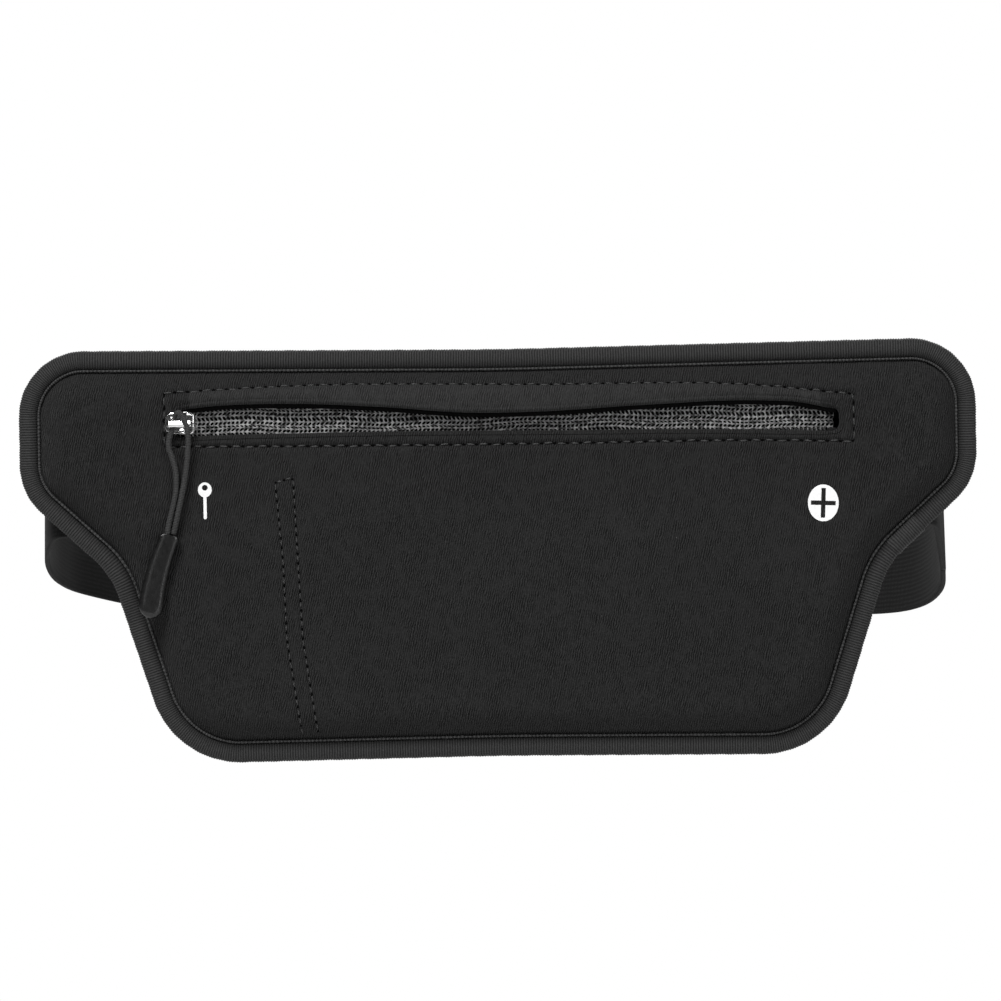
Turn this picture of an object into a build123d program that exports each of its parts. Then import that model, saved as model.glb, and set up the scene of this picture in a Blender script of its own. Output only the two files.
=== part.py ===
from build123d import *
import math
import os

# Running money belt: a slim waist pouch with a zip slot in front and a buckled belt behind.
# Millimetres. X runs along the pouch, Y from the front of the pouch to the wearer, Z is up.
# The origin is the middle of the pouch's back face. The pouch is on the -Y side of it and the belt
# loop on the +Y side. The front of every layer is its lower Y value.

# ---- outline of the pouch, right half, mirrored about X = 0 ----
WING_X = 135.7          # half length, out to the wing ends
TOP_MID_Z = 57.3        # height of the top edge at the middle
TOP_END_Z = 58.8        # height of the top edge's corner
WING_LOW_Z = 18.3       # corner under the wing
WAIST_X = 110.2         # corner where the wing meets the body
WAIST_Z = -5.0
FOOT_X = 92.9           # bottom corner
FOOT_Z = -58.9
BOTTOM_MID_Z = -58.0
CORNER_R = 18.5         # both corners of a wing
WAIST_R = 25.0
FOOT_R = 26.0
SAG_R = 1200.0          # slow bow of the long top and bottom edges

# ---- layers through the thickness ----
BACK_T = 2.5            # back panel
FRONT_T = 1.6           # front panel
DEPTH = 11.0            # from the back face to the front face at the middle
RIM_GAP = 0.4           # between the two panels at their rims
RIM_FLAT = 6.4          # flat rim of the front panel
SLOPE_RUN = 4.2         # from the flat rim to the raised front
LINING_T = 0.5
LINING_INSET = 9.5
FIT = 0.1               # sewn face to face
CLEAR = 0.3             # between pieces that move past each other

# ---- binding ----
BIND_T = 0.5            # folded elastic
BIND_W = 5.2            # width that shows
BEAD_W = 0.8

# ---- zip, along X ----
ZIP_Z = 37.6            # line the two coils close on
ZIP_X0 = -93.6          # left end of the slot, where the slider rests
ZIP_X1 = 95.4           # right end of the slot
FRAME_X0 = -94.0        # panel's cut-out, edged by the stitching
FRAME_X1 = 100.5
FRAME_Z0 = 30.4
FRAME_Z1 = 46.6
SLOT_HALF = 3.8         # half the open width
TAPE_T = 0.7
COIL_D = 1.2
COIL_LIP = 0.25         # coil stands back from the tape's edge
STOP_L = 2.4

# ---- slider ----
SLIDER_X = -89.5
SLIDER_L = 8.6
SLIDER_W = 6.8
PLATE_T = 0.9
POST_L = 2.4
POST_W = 2.2
CROWN_L = 7.6
CROWN_W = 1.2
CROWN_T = 1.1
LEAF_T = 0.25

# ---- puller ----
CORD_D = 1.5
GRIP_TOP = (-92.6, 6.1)     # x, z of the grip's mouth
GRIP_END = (-98.3, -17.2)   # x, z of its far end
GRIP_TOP_W = 5.1
GRIP_END_W = 6.5
GRIP_T = 4.0
GRIP_GAP = 0.1          # cord's ends to the grip's mouth, besides a share of the cord

# ---- marks and stitch line ----
FILM_T = 0.15
KEY_X = -82.8
KEY_Z = 18.7
KEY_R = 2.1
KEY_HOLE_R = 0.7
KEY_SHANK_W = 1.1
KEY_SHANK_L = 8.5
PORT_X = 91.5
PORT_Z = 12.3
PORT_W = 8.7
PORT_H = 10.4
PORT_SLIT_W = 1.3
PORT_SLIT_H = 8.4
PORT_SLIT_L = 7.0
DIVIDER_LINE = ((-60.4, 21.1), (-59.0, -1.5), (-58.1, -23.9), (-55.1, -44.0))
DIVIDER_T = 1.0

# ---- belt ----
STRAP_W = 38.0
STRAP_T = 1.6
STRAP_Z = 25.0          # middle of the webbing where it is sewn on
STRAP_Y = 1.5           # middle of its thickness there, and the swing axis
STRAP_IN = 15.7         # sewn part ends this far in from the wing's end
STRAP_STEP_IN = 6.2     # it steps up over the binding from here, in from the waist corner
STRAP_SEWN_L = 20.0     # its inner stretch, flat on the back panel
BELT_DROOP = 10.5       # degrees, the loop hangs down behind
BELT_IN = 7.7           # sides of the loop, in from the wing's end
BELT_Y = 150.0          # depth of the loop
BELT_NEAR_R = 16.0
BELT_FAR_R = 58.0

# ---- side-release buckle and adjuster, in the level belt ----
LAYER = 3.1             # half the distance between doubled webbing
BUCKLE_T = 9.0
BUCKLE_SIDE = 4.5       # buckle past each edge of the webbing
FEMALE_X0 = -30.0
FEMALE_X1 = 4.0
MALE_X0 = 4.6
MALE_X1 = 22.0
BAR = 3.4               # bars that webbing wraps round
BAR_T = 3.6
SLOT_L = 5.0
WALL = 1.7
SIDE_WALL = 2.5
SOCKET_DEPTH = 21.0
WINDOW_X0 = -15.5
WINDOW_X1 = -6.0
PRONG_W = 4.2
PRONG_T = 4.4
PRONG_IN = 4.4          # middle of a prong, in from the sleeve's side wall
PRESS_IN = 0.6          # press tab, below the sleeve's outside
GLIDE_X = 52.0
GLIDE_L = 13.0
GLIDE_T = 3.0

FRONT_Y = -DEPTH
STRAP_FREE_X = WING_X - STRAP_IN
STRAP_STEP_X = WAIST_X - STRAP_STEP_IN
STRAP_SEWN_X = STRAP_STEP_X - STRAP_SEWN_L
BELT_X = WING_X - BELT_IN
RIM_Y = -(BACK_T + RIM_GAP)
TAPE_Y = FRONT_Y + 0.4          # front face of the tapes
COIL_Y = TAPE_Y + TAPE_T + 0.1  # front of the coils
PLATE_Y = TAPE_Y - 0.4          # back face of the slider's front plate
CROWN_GAP = CORD_D + 0.5
BUCKLE_W = STRAP_W + 2 * BUCKLE_SIDE
PRONG_Z = BUCKLE_W / 2 - SIDE_WALL - PRONG_IN


def at_y(y):
    """Plane across the pouch at this Y, drawn in X and Z, facing the front."""
    return Plane((0, y, 0), x_dir=(1, 0, 0), z_dir=(0, -1, 0))


def slab(face, y_front, y_back):
    """Flat drawing in X and Z, made solid between two Y values."""
    return extrude(at_y(y_back) * face, y_back - y_front)


def block(x0, x1, y0, y1, z0, z1):
    """Box given by its six faces."""
    middle = ((x0 + x1) / 2, (y0 + y1) / 2, (z0 + z1) / 2)
    return Pos(*middle) * Box(x1 - x0, y1 - y0, z1 - z0)


def drawn_box(x0, x1, z0, z1, radius=0):
    """Rectangle in the X and Z drawing, with round corners if asked."""
    middle = Pos((x0 + x1) / 2, (z0 + z1) / 2)
    if radius:
        return middle * RectangleRounded(x1 - x0, z1 - z0, radius)
    return middle * Rectangle(x1 - x0, z1 - z0)


def pouch_outline():
    """Closed outline of the pouch, with its corners rounded."""
    right = [
        (0, TOP_MID_Z),
        (WING_X, TOP_END_Z),
        (WING_X, WING_LOW_Z),
        (WAIST_X, WAIST_Z),
        (FOOT_X, FOOT_Z),
        (0, BOTTOM_MID_Z),
    ]
    radii = [SAG_R, CORNER_R, CORNER_R, WAIST_R, FOOT_R, SAG_R]
    left = [(-x, z) for x, z in reversed(right[1:-1])]
    path = FilletPolyline(*right, *left, radius=radii + radii[-2:0:-1], close=True)
    return make_face(path)


def inset(distance):
    """The outline, drawn in by a distance."""
    return offset(pouch_outline(), -distance, kind=Kind.ARC)


def tray(y_rim, y_top, rim_inset, top_inset):
    """Raised form of the pouch front, from its rim to its flat top."""
    sections = [at_y(y_rim) * inset(rim_inset), at_y(y_top) * inset(top_inset)]
    return loft(sections, ruled=True)


def front_panel():
    """Raised front of the pouch, with the cut-out for the zip."""
    rim = slab(inset(BIND_T + 0.4), RIM_Y - FRONT_T, RIM_Y)
    raised = tray(RIM_Y - FRONT_T, FRONT_Y, RIM_FLAT, RIM_FLAT + SLOPE_RUN)
    hollow = tray(RIM_Y, FRONT_Y + FRONT_T, RIM_FLAT + FRONT_T, RIM_FLAT + SLOPE_RUN + FRONT_T)
    cut_out = slab(drawn_box(FRAME_X0, FRAME_X1, FRAME_Z0, FRAME_Z1), FRONT_Y - 1, RIM_Y)
    return rim + raised - hollow - cut_out


def edge_binding():
    """Folded elastic round the rims of both panels."""
    y_front = RIM_Y - FRONT_T - FIT - BIND_T
    y_back = FIT + BIND_T
    whole = slab(pouch_outline(), y_front, y_back)
    channel = slab(inset(BIND_T), y_front + BIND_T, y_back - BIND_T)
    middle = slab(inset(BIND_W), y_front - 1, y_back + 1)
    return whole - channel - middle


def binding_bead():
    """Thin raised rib along the inner edge of the binding, on the front."""
    y_back = RIM_Y - FRONT_T - FIT
    return slab(inset(BIND_W + FIT) - inset(BIND_W + FIT + BEAD_W), y_back - BEAD_W, y_back)


def zip_half(side):
    """Tape, coil and end stop of one half of the open zip. side is 1 above and -1 below."""
    edge = ZIP_Z + side * SLOT_HALF
    seam = FRAME_Z1 - CLEAR if side > 0 else FRAME_Z0 + CLEAR
    x_end = FRAME_X1 - CLEAR
    tape = block(FRAME_X0 + CLEAR, x_end, TAPE_Y, TAPE_Y + TAPE_T, *sorted((edge, seam)))
    coil_z = edge + side * (COIL_LIP + COIL_D / 2)
    coil_x0 = SLIDER_X + SLIDER_L / 2 + CLEAR
    coil_l = ZIP_X1 - STOP_L - coil_x0
    coil = Pos(coil_x0 + coil_l / 2, COIL_Y + COIL_D / 2, coil_z) * Rot(0, 90, 0) * Cylinder(COIL_D / 2, coil_l)
    stop_x0 = coil_x0 + coil_l + FIT
    half = COIL_D / 2
    stop = block(stop_x0, stop_x0 + STOP_L, COIL_Y, COIL_Y + COIL_D, coil_z - half, coil_z + half)
    return tape, coil, fillet(stop.edges().filter_by(Axis.Y), 0.4)


def slider_body():
    """Front and back plates of the slider, joined by the post between the two chains."""
    x0 = SLIDER_X - SLIDER_L / 2
    x1 = SLIDER_X + SLIDER_L / 2
    z0 = ZIP_Z - SLIDER_W / 2
    z1 = ZIP_Z + SLIDER_W / 2
    y_back = COIL_Y + COIL_D + CLEAR
    shield = drawn_box(x0, x1, z0, z1, 1.6)
    front = slab(shield, PLATE_Y - PLATE_T, PLATE_Y)
    back = slab(shield, y_back, y_back + PLATE_T)
    post_x1 = x1 - 0.5
    post = block(post_x1 - POST_L, post_x1, PLATE_Y, y_back, ZIP_Z - POST_W / 2, ZIP_Z + POST_W / 2)
    return front + post + back


def slider_crown():
    """Bridge along the slider that the puller's cord goes under."""
    x0 = SLIDER_X - CROWN_L / 2
    x1 = SLIDER_X + CROWN_L / 2
    y_foot = PLATE_Y - PLATE_T
    y_top = y_foot - CROWN_GAP - CROWN_T
    z0 = ZIP_Z - CROWN_W / 2
    z1 = ZIP_Z + CROWN_W / 2
    outer = block(x0, x1, y_top, y_foot - 0.01, z0, z1)
    outer = fillet(outer.edges().filter_by(Axis.Z).group_by(Axis.Y)[0], 1.4)
    return outer - block(x0 + CROWN_T, x1 - CROWN_T, y_foot - CROWN_GAP, y_foot, z0 - 1, z1 + 1)


def slider_lock_spring():
    """Leaf lying on the slider under the crown."""
    y_back = PLATE_Y - PLATE_T - 0.05
    inner = CROWN_L / 2 - CROWN_T - FIT
    return block(SLIDER_X - inner, SLIDER_X + inner, y_back - LEAF_T, y_back, ZIP_Z - 0.4, ZIP_Z + 0.4)


def cord_route():
    """Points of the puller's cord: up its front leg, over and behind the crown, down its back leg."""
    x, z = GRIP_TOP
    apart = CORD_D / 2 + 0.15
    mouth = z + GRIP_GAP + CORD_D / 6
    hang = FRONT_Y - GRIP_T / 2 - 0.5
    under = PLATE_Y - PLATE_T - CROWN_GAP / 2
    over = PLATE_Y - PLATE_T - CROWN_GAP - CROWN_T - CORD_D / 2 - CLEAR
    return [
        (x + apart, hang, mouth),
        (-90.6, hang - 0.3, 11.2),
        (-89.4, hang - 0.5, 16.4),
        (-88.2, hang - 0.4, 22.0),
        (-87.5, hang - 0.4, 27.0),
        (-87.1, hang - 0.9, 31.5),
        (-87.0, over + 0.6, 35.0),
        (-87.9, over, 38.6),
        (-89.5, over + 1.2, 40.9),
        (-91.0, under - 0.2, 39.8),
        (-91.2, under, 36.8),
        (-92.5, under, 33.8),
        (-92.9, under - 0.1, 31.0),
        (-91.7, hang + 0.1, 27.8),
        (-90.7, hang + 0.3, 23.8),
        (-90.7, hang + 0.3, 18.8),
        (-91.6, hang + 0.3, 14.4),
        (-92.8, hang, 10.2),
        (x - apart, hang, mouth),
    ]


def corner_radii(points):
    """Largest arc that each corner of a route has room for."""
    radii = []
    for before, here, after in zip(points, points[1:], points[2:]):
        run_in = Vector(*here) - Vector(*before)
        run_out = Vector(*after) - Vector(*here)
        turn = math.radians(run_in.get_angle(run_out))
        radii.append(0.45 * min(run_in.length, run_out.length) / math.tan(turn / 2))
    return radii


def pull_cord():
    """Cord looped round the crown, both ends going into the grip."""
    points = cord_route()
    radii = corner_radii(points)
    print("cord arcs", [round(r, 1) for r in radii])
    path = FilletPolyline(*points, radius=radii)
    first = Plane(origin=path @ 0, z_dir=path % 0)
    tube = sweep(first * Circle(CORD_D / 2), path=path)
    print("cord length", round(path.length, 1), "volume ratio",
          round(tube.volume / (math.pi * CORD_D ** 2 / 4 * path.length), 3))
    return tube


def pull_grip():
    """Moulded grip, widening towards its round end."""
    (x0, z0), (x1, z1) = GRIP_TOP, GRIP_END
    length = math.hypot(x1 - x0, z1 - z0)
    lean = math.degrees(math.atan2(x0 - x1, z0 - z1))
    outline = make_face(Polyline(
        (-GRIP_TOP_W / 2, 0), (GRIP_TOP_W / 2, 0), (GRIP_END_W / 2, -length), (-GRIP_END_W / 2, -length),
        close=True,
    ))
    ends = outline.vertices().group_by(Axis.Y)
    outline = fillet(ends[0], GRIP_END_W / 2 - 0.5)
    outline = fillet(outline.vertices().group_by(Axis.Y)[-1], 0.8)
    hang = FRONT_Y - 0.5
    body = slab(Pos(x0, z0) * Rot(0, 0, -lean) * outline, hang - GRIP_T, hang)
    return chamfer(body.faces().sort_by(Axis.Y)[0].edges(), 0.6)


def key_mark():
    """Film key: a ring with a hole and a shank below."""
    ring = Pos(KEY_X, KEY_Z) * Circle(KEY_R)
    shank_z = KEY_Z - KEY_SHANK_L / 2
    shank = Pos(KEY_X, shank_z) * RectangleRounded(KEY_SHANK_W, KEY_SHANK_L, KEY_SHANK_W / 2 - 0.01)
    hole = Pos(KEY_X, KEY_Z + 0.3) * Circle(KEY_HOLE_R)
    return slab(ring + shank - hole, FRONT_Y - FILM_T - 0.02, FRONT_Y - 0.02)


def earphone_patch():
    """Film oval with a plus-shaped slit for an earphone lead."""
    oval = Pos(PORT_X, PORT_Z) * Ellipse(PORT_W / 2, PORT_H / 2)
    slit = Pos(PORT_X, PORT_Z) * (Rectangle(PORT_SLIT_W, PORT_SLIT_H) + Rectangle(PORT_SLIT_L, PORT_SLIT_W))
    return slab(oval - slit, FRONT_Y - FILM_T - 0.02, FRONT_Y - 0.02)


def pocket_divider():
    """Wall of cloth between the key pocket and the main pocket."""
    face = trace(Polyline(*DIVIDER_LINE), line_width=DIVIDER_T)
    return slab(face, FRONT_Y + FRONT_T + FIT, -(BACK_T + LINING_T + 0.2))


def belt_pose():
    """Turns the level belt down about the line it is sewn along."""
    return Pos(0, STRAP_Y, STRAP_Z) * Rot(-BELT_DROOP, 0, 0) * Pos(0, -STRAP_Y, 0)


def webbing(path, width=STRAP_W):
    """Webbing on edge along a path drawn in plan, centred on the belt's own Z = 0."""
    return Pos(0, 0, -width / 2) * extrude(trace(path, line_width=STRAP_T), width)


def strap_end(side):
    """End of the belt sewn flat on the back of a wing, stepping out over the binding."""
    low = FIT + STRAP_T / 2
    points = [(STRAP_SEWN_X, low), (STRAP_STEP_X, low), (STRAP_STEP_X + 3, STRAP_Y), (STRAP_FREE_X, STRAP_Y)]
    path = Polyline(*[(side * x, y) for x, y in points])
    return Pos(0, 0, STRAP_Z) * webbing(path)


def loop_half(side, x_last):
    """Plan path of the belt from a wing round to the rear, ending at x_last."""
    start_angle = math.asin((STRAP_FREE_X + 2 - (BELT_X - BELT_NEAR_R)) / BELT_NEAR_R)
    near = (BELT_X - BELT_NEAR_R, STRAP_Y + BELT_NEAR_R)
    start = (near[0] + BELT_NEAR_R * math.sin(start_angle), near[1] - BELT_NEAR_R * math.cos(start_angle))
    middle = (start_angle + math.pi / 2) / 2
    through = (near[0] + BELT_NEAR_R * math.sin(middle), near[1] - BELT_NEAR_R * math.cos(middle))
    far = (BELT_X - BELT_FAR_R, BELT_Y - BELT_FAR_R)
    part = BELT_FAR_R * math.sqrt(0.5)

    def put(x, y):
        return (side * x, y)

    return (
        ThreePointArc(put(*start), put(*through), put(BELT_X, near[1]))
        + Line(put(BELT_X, near[1]), put(BELT_X, far[1]))
        + ThreePointArc(put(BELT_X, far[1]), put(far[0] + part, far[1] + part), put(far[0], BELT_Y))
        + Line(put(far[0], BELT_Y), (x_last, BELT_Y))
    )


def wrap(bar_x, heading, x_end):
    """Webbing turned round a buckle bar: outer layer, short turn, inner layer back to x_end."""
    turn_x = bar_x + heading * (STRAP_T / 2 + CLEAR)
    start = (turn_x - heading * 6, BELT_Y)
    corners = [start, (turn_x, BELT_Y), (turn_x, BELT_Y - 2 * LAYER), (x_end, BELT_Y - 2 * LAYER)]
    return FilletPolyline(*corners, radius=1.2), start[0]


def strap_left():
    """Left webbing, round the female buckle's bar and sewn back on itself."""
    turn, x_last = wrap(FEMALE_X0 + BAR, 1, FEMALE_X0 - 26)
    return belt_pose() * webbing(loop_half(-1, x_last) + turn)


def strap_right():
    """Right webbing, up to the male buckle's bar."""
    turn_x = MALE_X1 - BAR - (STRAP_T / 2 + CLEAR)
    return belt_pose() * webbing(loop_half(1, turn_x + 6))


def strap_right_loop():
    """Webbing turned round the male buckle's bar and back to the adjuster."""
    turn, x_last = wrap(MALE_X1 - BAR, -1, GLIDE_X - 2)
    return belt_pose() * webbing(turn)


def buckle_axis():
    """Place of the buckle's middle line in the level belt."""
    return BELT_Y - LAYER


def buckle_female():
    """Socket half: a flat sleeve with side windows and a bar for the webbing."""
    y = buckle_axis()
    half = BUCKLE_W / 2
    body = block(FEMALE_X0, FEMALE_X1, y - BUCKLE_T / 2, y + BUCKLE_T / 2, -half, half)
    body = fillet(body.edges().filter_by(Axis.Y), 5)
    body = chamfer(body.faces().filter_by(Axis.Y).edges(), 0.8)
    inner = BUCKLE_T / 2 - WALL
    socket = block(FEMALE_X1 - SOCKET_DEPTH, FEMALE_X1 + 1, y - inner, y + inner, -half + SIDE_WALL, half - SIDE_WALL)
    windows = block(WINDOW_X0, WINDOW_X1, y - inner, y + inner, -half - 1, half + 1)
    slot_x0 = FEMALE_X0 + BAR
    slot_half = STRAP_W / 2 + 0.8
    slot = block(slot_x0, slot_x0 + SLOT_L, y - BUCKLE_T, y + BUCKLE_T, -slot_half, slot_half)
    relief = block(FEMALE_X0 - 1, slot_x0, y + BAR_T / 2, y + BUCKLE_T, -slot_half, slot_half)
    return belt_pose() * (body - socket - windows - slot - relief - mirror(relief, Plane((0, y, 0), z_dir=(0, 1, 0))))


def buckle_male():
    """Plug half: a base with the webbing bar and a middle guide that enters the sleeve."""
    y = buckle_axis()
    half = BUCKLE_W / 2
    body = block(MALE_X0, MALE_X1, y - BUCKLE_T / 2, y + BUCKLE_T / 2, -half, half)
    body = fillet(body.edges().filter_by(Axis.Y).group_by(Axis.X)[-1], 5)
    body = chamfer(body.faces().filter_by(Axis.Y).edges(), 0.8)
    slot_x1 = MALE_X1 - BAR
    slot_half = STRAP_W / 2 + 0.8
    slot = block(slot_x1 - SLOT_L, slot_x1, y - BUCKLE_T, y + BUCKLE_T, -slot_half, slot_half)
    relief = block(slot_x1, MALE_X1 + 1, y + BAR_T / 2, y + BUCKLE_T, -slot_half, slot_half)
    guide_end = FEMALE_X1 - SOCKET_DEPTH + 1.5
    guide = block(guide_end, MALE_X0 + 1, y - 1.4, y + 1.4, -3, 3)
    body = body - slot - relief - mirror(relief, Plane((0, y, 0), z_dir=(0, 1, 0)))
    return belt_pose() * (body + guide)


def latch_prong(side):
    """Springy arm with the press tab that shows in the sleeve's window."""
    y = buckle_axis()
    arm = block(FEMALE_X1 - SOCKET_DEPTH + 1, MALE_X0 - FIT, y - PRONG_T / 2, y + PRONG_T / 2,
                PRONG_Z - PRONG_W / 2, PRONG_Z + PRONG_W / 2)
    arm = fillet(arm.edges().filter_by(Axis.Y).group_by(Axis.X)[0], 1.6)
    tab = block(WINDOW_X0 + 0.5, WINDOW_X1 - 0.5, y - PRONG_T / 2, y + PRONG_T / 2,
                PRONG_Z, BUCKLE_W / 2 - PRESS_IN)
    tab = fillet(tab.edges().filter_by(Axis.Y).group_by(Axis.Z)[-1], 1.6)
    prong = arm + tab
    if side < 0:
        prong = mirror(prong, Plane.XY)
    return belt_pose() * prong


def tri_glide():
    """Adjuster: a flat frame with a middle bar."""
    y = buckle_axis()
    half = STRAP_W / 2 + 3.5
    x0 = GLIDE_X - GLIDE_L / 2
    x1 = GLIDE_X + GLIDE_L / 2
    body = block(x0, x1, y - GLIDE_T / 2, y + GLIDE_T / 2, -half, half)
    body = fillet(body.edges().filter_by(Axis.Y), 2)
    body = chamfer(body.faces().filter_by(Axis.Y).edges(), 0.5)
    gap = (GLIDE_L - 3 * 2.4) / 2
    for slot_x in (x0 + 2.4, x0 + 2 * 2.4 + gap):
        body = body - block(slot_x, slot_x + gap, y - 5, y + 5, -STRAP_W / 2 - 0.8, STRAP_W / 2 + 0.8)
    return belt_pose() * body


tape_upper, coil_upper, stop_upper = zip_half(1)
tape_lower, coil_lower, stop_lower = zip_half(-1)
stop_y = FRONT_Y + FRONT_T + FIT
bottom_stop = block(ZIP_X0 - 3.6, ZIP_X0 - 0.6, stop_y, stop_y + COIL_D, ZIP_Z - 2, ZIP_Z + 2)

NODES = {
    "front_panel": front_panel(),
    "back_panel": slab(inset(BIND_T + 0.4), -BACK_T, 0),
    "edge_binding": edge_binding(),
    "binding_bead": binding_bead(),
    "mesh_lining": slab(inset(LINING_INSET), -(BACK_T + FIT + LINING_T), -(BACK_T + FIT)),
    "pocket_divider": pocket_divider(),
    "key_mark": key_mark(),
    "earphone_patch": earphone_patch(),
    "zip_tape_upper": tape_upper,
    "zip_tape_lower": tape_lower,
    "zip_coil_upper": coil_upper,
    "zip_coil_lower": coil_lower,
    "zip_top_stop_upper": stop_upper,
    "zip_top_stop_lower": stop_lower,
    "zip_bottom_stop": fillet(bottom_stop.edges().filter_by(Axis.Y), 0.4),
    "slider_body": slider_body(),
    "slider_crown": slider_crown(),
    "slider_lock_spring": slider_lock_spring(),
    "pull_cord": pull_cord(),
    "pull_grip": pull_grip(),
    "strap_end_left": strap_end(-1),
    "strap_end_right": strap_end(1),
    "strap_left": strap_left(),
    "strap_right": strap_right(),
    "strap_right_loop": strap_right_loop(),
    "tri_glide": tri_glide(),
    "buckle_female": buckle_female(),
    "buckle_male": buckle_male(),
    "latch_prong_upper": latch_prong(1),
    "latch_prong_lower": latch_prong(-1),
}

os.makedirs("parts", exist_ok=True)
for name, shape in NODES.items():
    shape.label = name
    export_step(shape, f"parts/{name}.step")
    print(name, round(shape.volume, 1))
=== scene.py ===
import bmesh
import bpy
import math
import numpy as np
from mathutils import Matrix, Vector


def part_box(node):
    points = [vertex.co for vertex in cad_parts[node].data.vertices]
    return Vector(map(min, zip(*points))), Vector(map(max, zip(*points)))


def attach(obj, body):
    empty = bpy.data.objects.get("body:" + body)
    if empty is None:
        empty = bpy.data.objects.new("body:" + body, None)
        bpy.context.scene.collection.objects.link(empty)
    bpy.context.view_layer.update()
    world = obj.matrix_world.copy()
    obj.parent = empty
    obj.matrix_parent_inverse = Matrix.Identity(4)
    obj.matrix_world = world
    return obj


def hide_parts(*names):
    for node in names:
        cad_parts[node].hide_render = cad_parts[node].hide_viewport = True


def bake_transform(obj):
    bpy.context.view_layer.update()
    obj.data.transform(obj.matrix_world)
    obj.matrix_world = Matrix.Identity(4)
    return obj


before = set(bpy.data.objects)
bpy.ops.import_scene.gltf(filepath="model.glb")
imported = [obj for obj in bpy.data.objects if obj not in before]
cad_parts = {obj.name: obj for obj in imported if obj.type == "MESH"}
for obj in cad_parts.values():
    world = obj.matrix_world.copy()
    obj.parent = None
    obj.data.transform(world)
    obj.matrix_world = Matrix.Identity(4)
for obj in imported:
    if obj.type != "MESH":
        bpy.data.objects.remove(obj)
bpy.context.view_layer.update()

mm = 0.001

# Studio: a long lens level with the pouch, a white room, one broad light high on the left,
# a weaker one on the right and one behind. The pale floor lies below the belt.
scene = bpy.context.scene
view_middle = Vector((0.5 * mm, -11 * mm, 14.4 * mm))
view_distance = 1.5
view_width = 282.3 * mm
view_roll = math.radians(0.9)
lens = bpy.data.cameras.new("camera")
lens.sensor_width = 36
lens.lens = lens.sensor_width * view_distance / view_width
lens.clip_start = 0.05
lens.clip_end = 30
camera = bpy.data.objects.new("camera", lens)
scene.collection.objects.link(camera)
right_way = Vector((math.cos(view_roll), 0, -math.sin(view_roll)))
up_way = Vector((math.sin(view_roll), 0, math.cos(view_roll)))
turn = Matrix((right_way, up_way, Vector((0, -1, 0)))).transposed()
camera.matrix_world = Matrix.Translation(view_middle - Vector((0, view_distance, 0))) @ turn.to_4x4()
scene.camera = camera
scene.view_settings.view_transform = "Standard"
scene.view_settings.look = "None"


def add(tree, kind, inputs=None, **settings):
    """A node with its settings, its inputs given as values or as another node's output."""
    made = tree.nodes.new(kind)
    for name, value in settings.items():
        setattr(made, name, value)
    for name, value in (inputs or {}).items():
        if isinstance(value, bpy.types.NodeSocket):
            tree.links.new(value, made.inputs[name])
        else:
            made.inputs[name].default_value = value
    return made


def grey(level):
    return (level, level, level, 1)


def soft_light(name, place, aim, size, power):
    """A square light that faces a point."""
    data = bpy.data.lights.new(name, "AREA")
    data.shape = "SQUARE"
    data.size = size
    data.energy = power
    lamp = bpy.data.objects.new(name, data)
    scene.collection.objects.link(lamp)
    lamp.location = place
    lamp.rotation_mode = "QUATERNION"
    lamp.rotation_quaternion = (Vector(aim) - Vector(place)).to_track_quat("-Z", "Y")


soft_light("key_light", (-0.5, -1.2, 1.3), (0, 0, 0.02), 0.7, 35)
soft_light("fill_light", (0.9, -1.5, 0.3), (0, 0, 0.02), 0.8, 9.5)
soft_light("back_light", (0.2, 1.5, 1.1), (0, 0, 0.02), 1.0, 20)

world = bpy.data.worlds.new("white_room")
world.use_nodes = True
scene.world = world
room = world.node_tree
room.nodes.clear()
seen = add(room, "ShaderNodeBackground", {"Color": grey(1), "Strength": 1})
path = add(room, "ShaderNodeLightPath")
dim = add(room, "ShaderNodeMapRange", {0: path.outputs["Is Glossy Ray"], 3: 0.13, 4: 0.03})
around = add(room, "ShaderNodeBackground", {"Color": grey(1), "Strength": dim.outputs[0]})
both = add(room, "ShaderNodeMixShader", {
    0: path.outputs["Is Camera Ray"],
    1: around.outputs[0],
    2: seen.outputs[0],
})
add(room, "ShaderNodeOutputWorld", {"Surface": both.outputs[0]})

floor_mesh = bpy.data.meshes.new("floor")
floor_form = bmesh.new()
bmesh.ops.create_circle(floor_form, cap_ends=True, radius=9, segments=64)
bmesh.ops.translate(floor_form, verts=floor_form.verts, vec=(0, 0, -0.45))
floor_form.to_mesh(floor_mesh)
floor = bpy.data.objects.new("floor", floor_mesh)
scene.collection.objects.link(floor)
paper = bpy.data.materials.new("white_paper")
paper.use_nodes = True
tree = paper.node_tree
tree.nodes.clear()
path = add(tree, "ShaderNodeLightPath")
lit = add(tree, "ShaderNodeEmission", {"Color": grey(1), "Strength": 1})
dull = add(tree, "ShaderNodeBsdfDiffuse", {"Color": grey(0.8)})
both = add(tree, "ShaderNodeMixShader", {
    0: path.outputs["Is Camera Ray"],
    1: dull.outputs[0],
    2: lit.outputs[0],
})
add(tree, "ShaderNodeOutputMaterial", {"Surface": both.outputs[0]})
floor_mesh.materials.append(paper)

# Front panel: one layer of jersey-faced neoprene, moulded over what the pouch holds, its rim in
# the binding. A window is cut for the zip, and two stitch lines part the key pocket.
wing_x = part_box("edge_binding")[1].x / mm
outline_corners = [(0, 57.3), (wing_x, 58.8), (wing_x, 18.3), (110.2, -5), (92.9, -58.9), (0, -58.0)]
outline_radii = [1200, 18.5, 18.5, 25, 26, 1200]
front_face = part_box("front_panel")[0].y / mm
binding_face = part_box("edge_binding")[0].y / mm
rim_inset = 5.2
rise_start = 6.5
rise_run = 7.5
frame_left = -94.0
frame_right = 100.5
panel_thickness = 1.5


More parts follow.
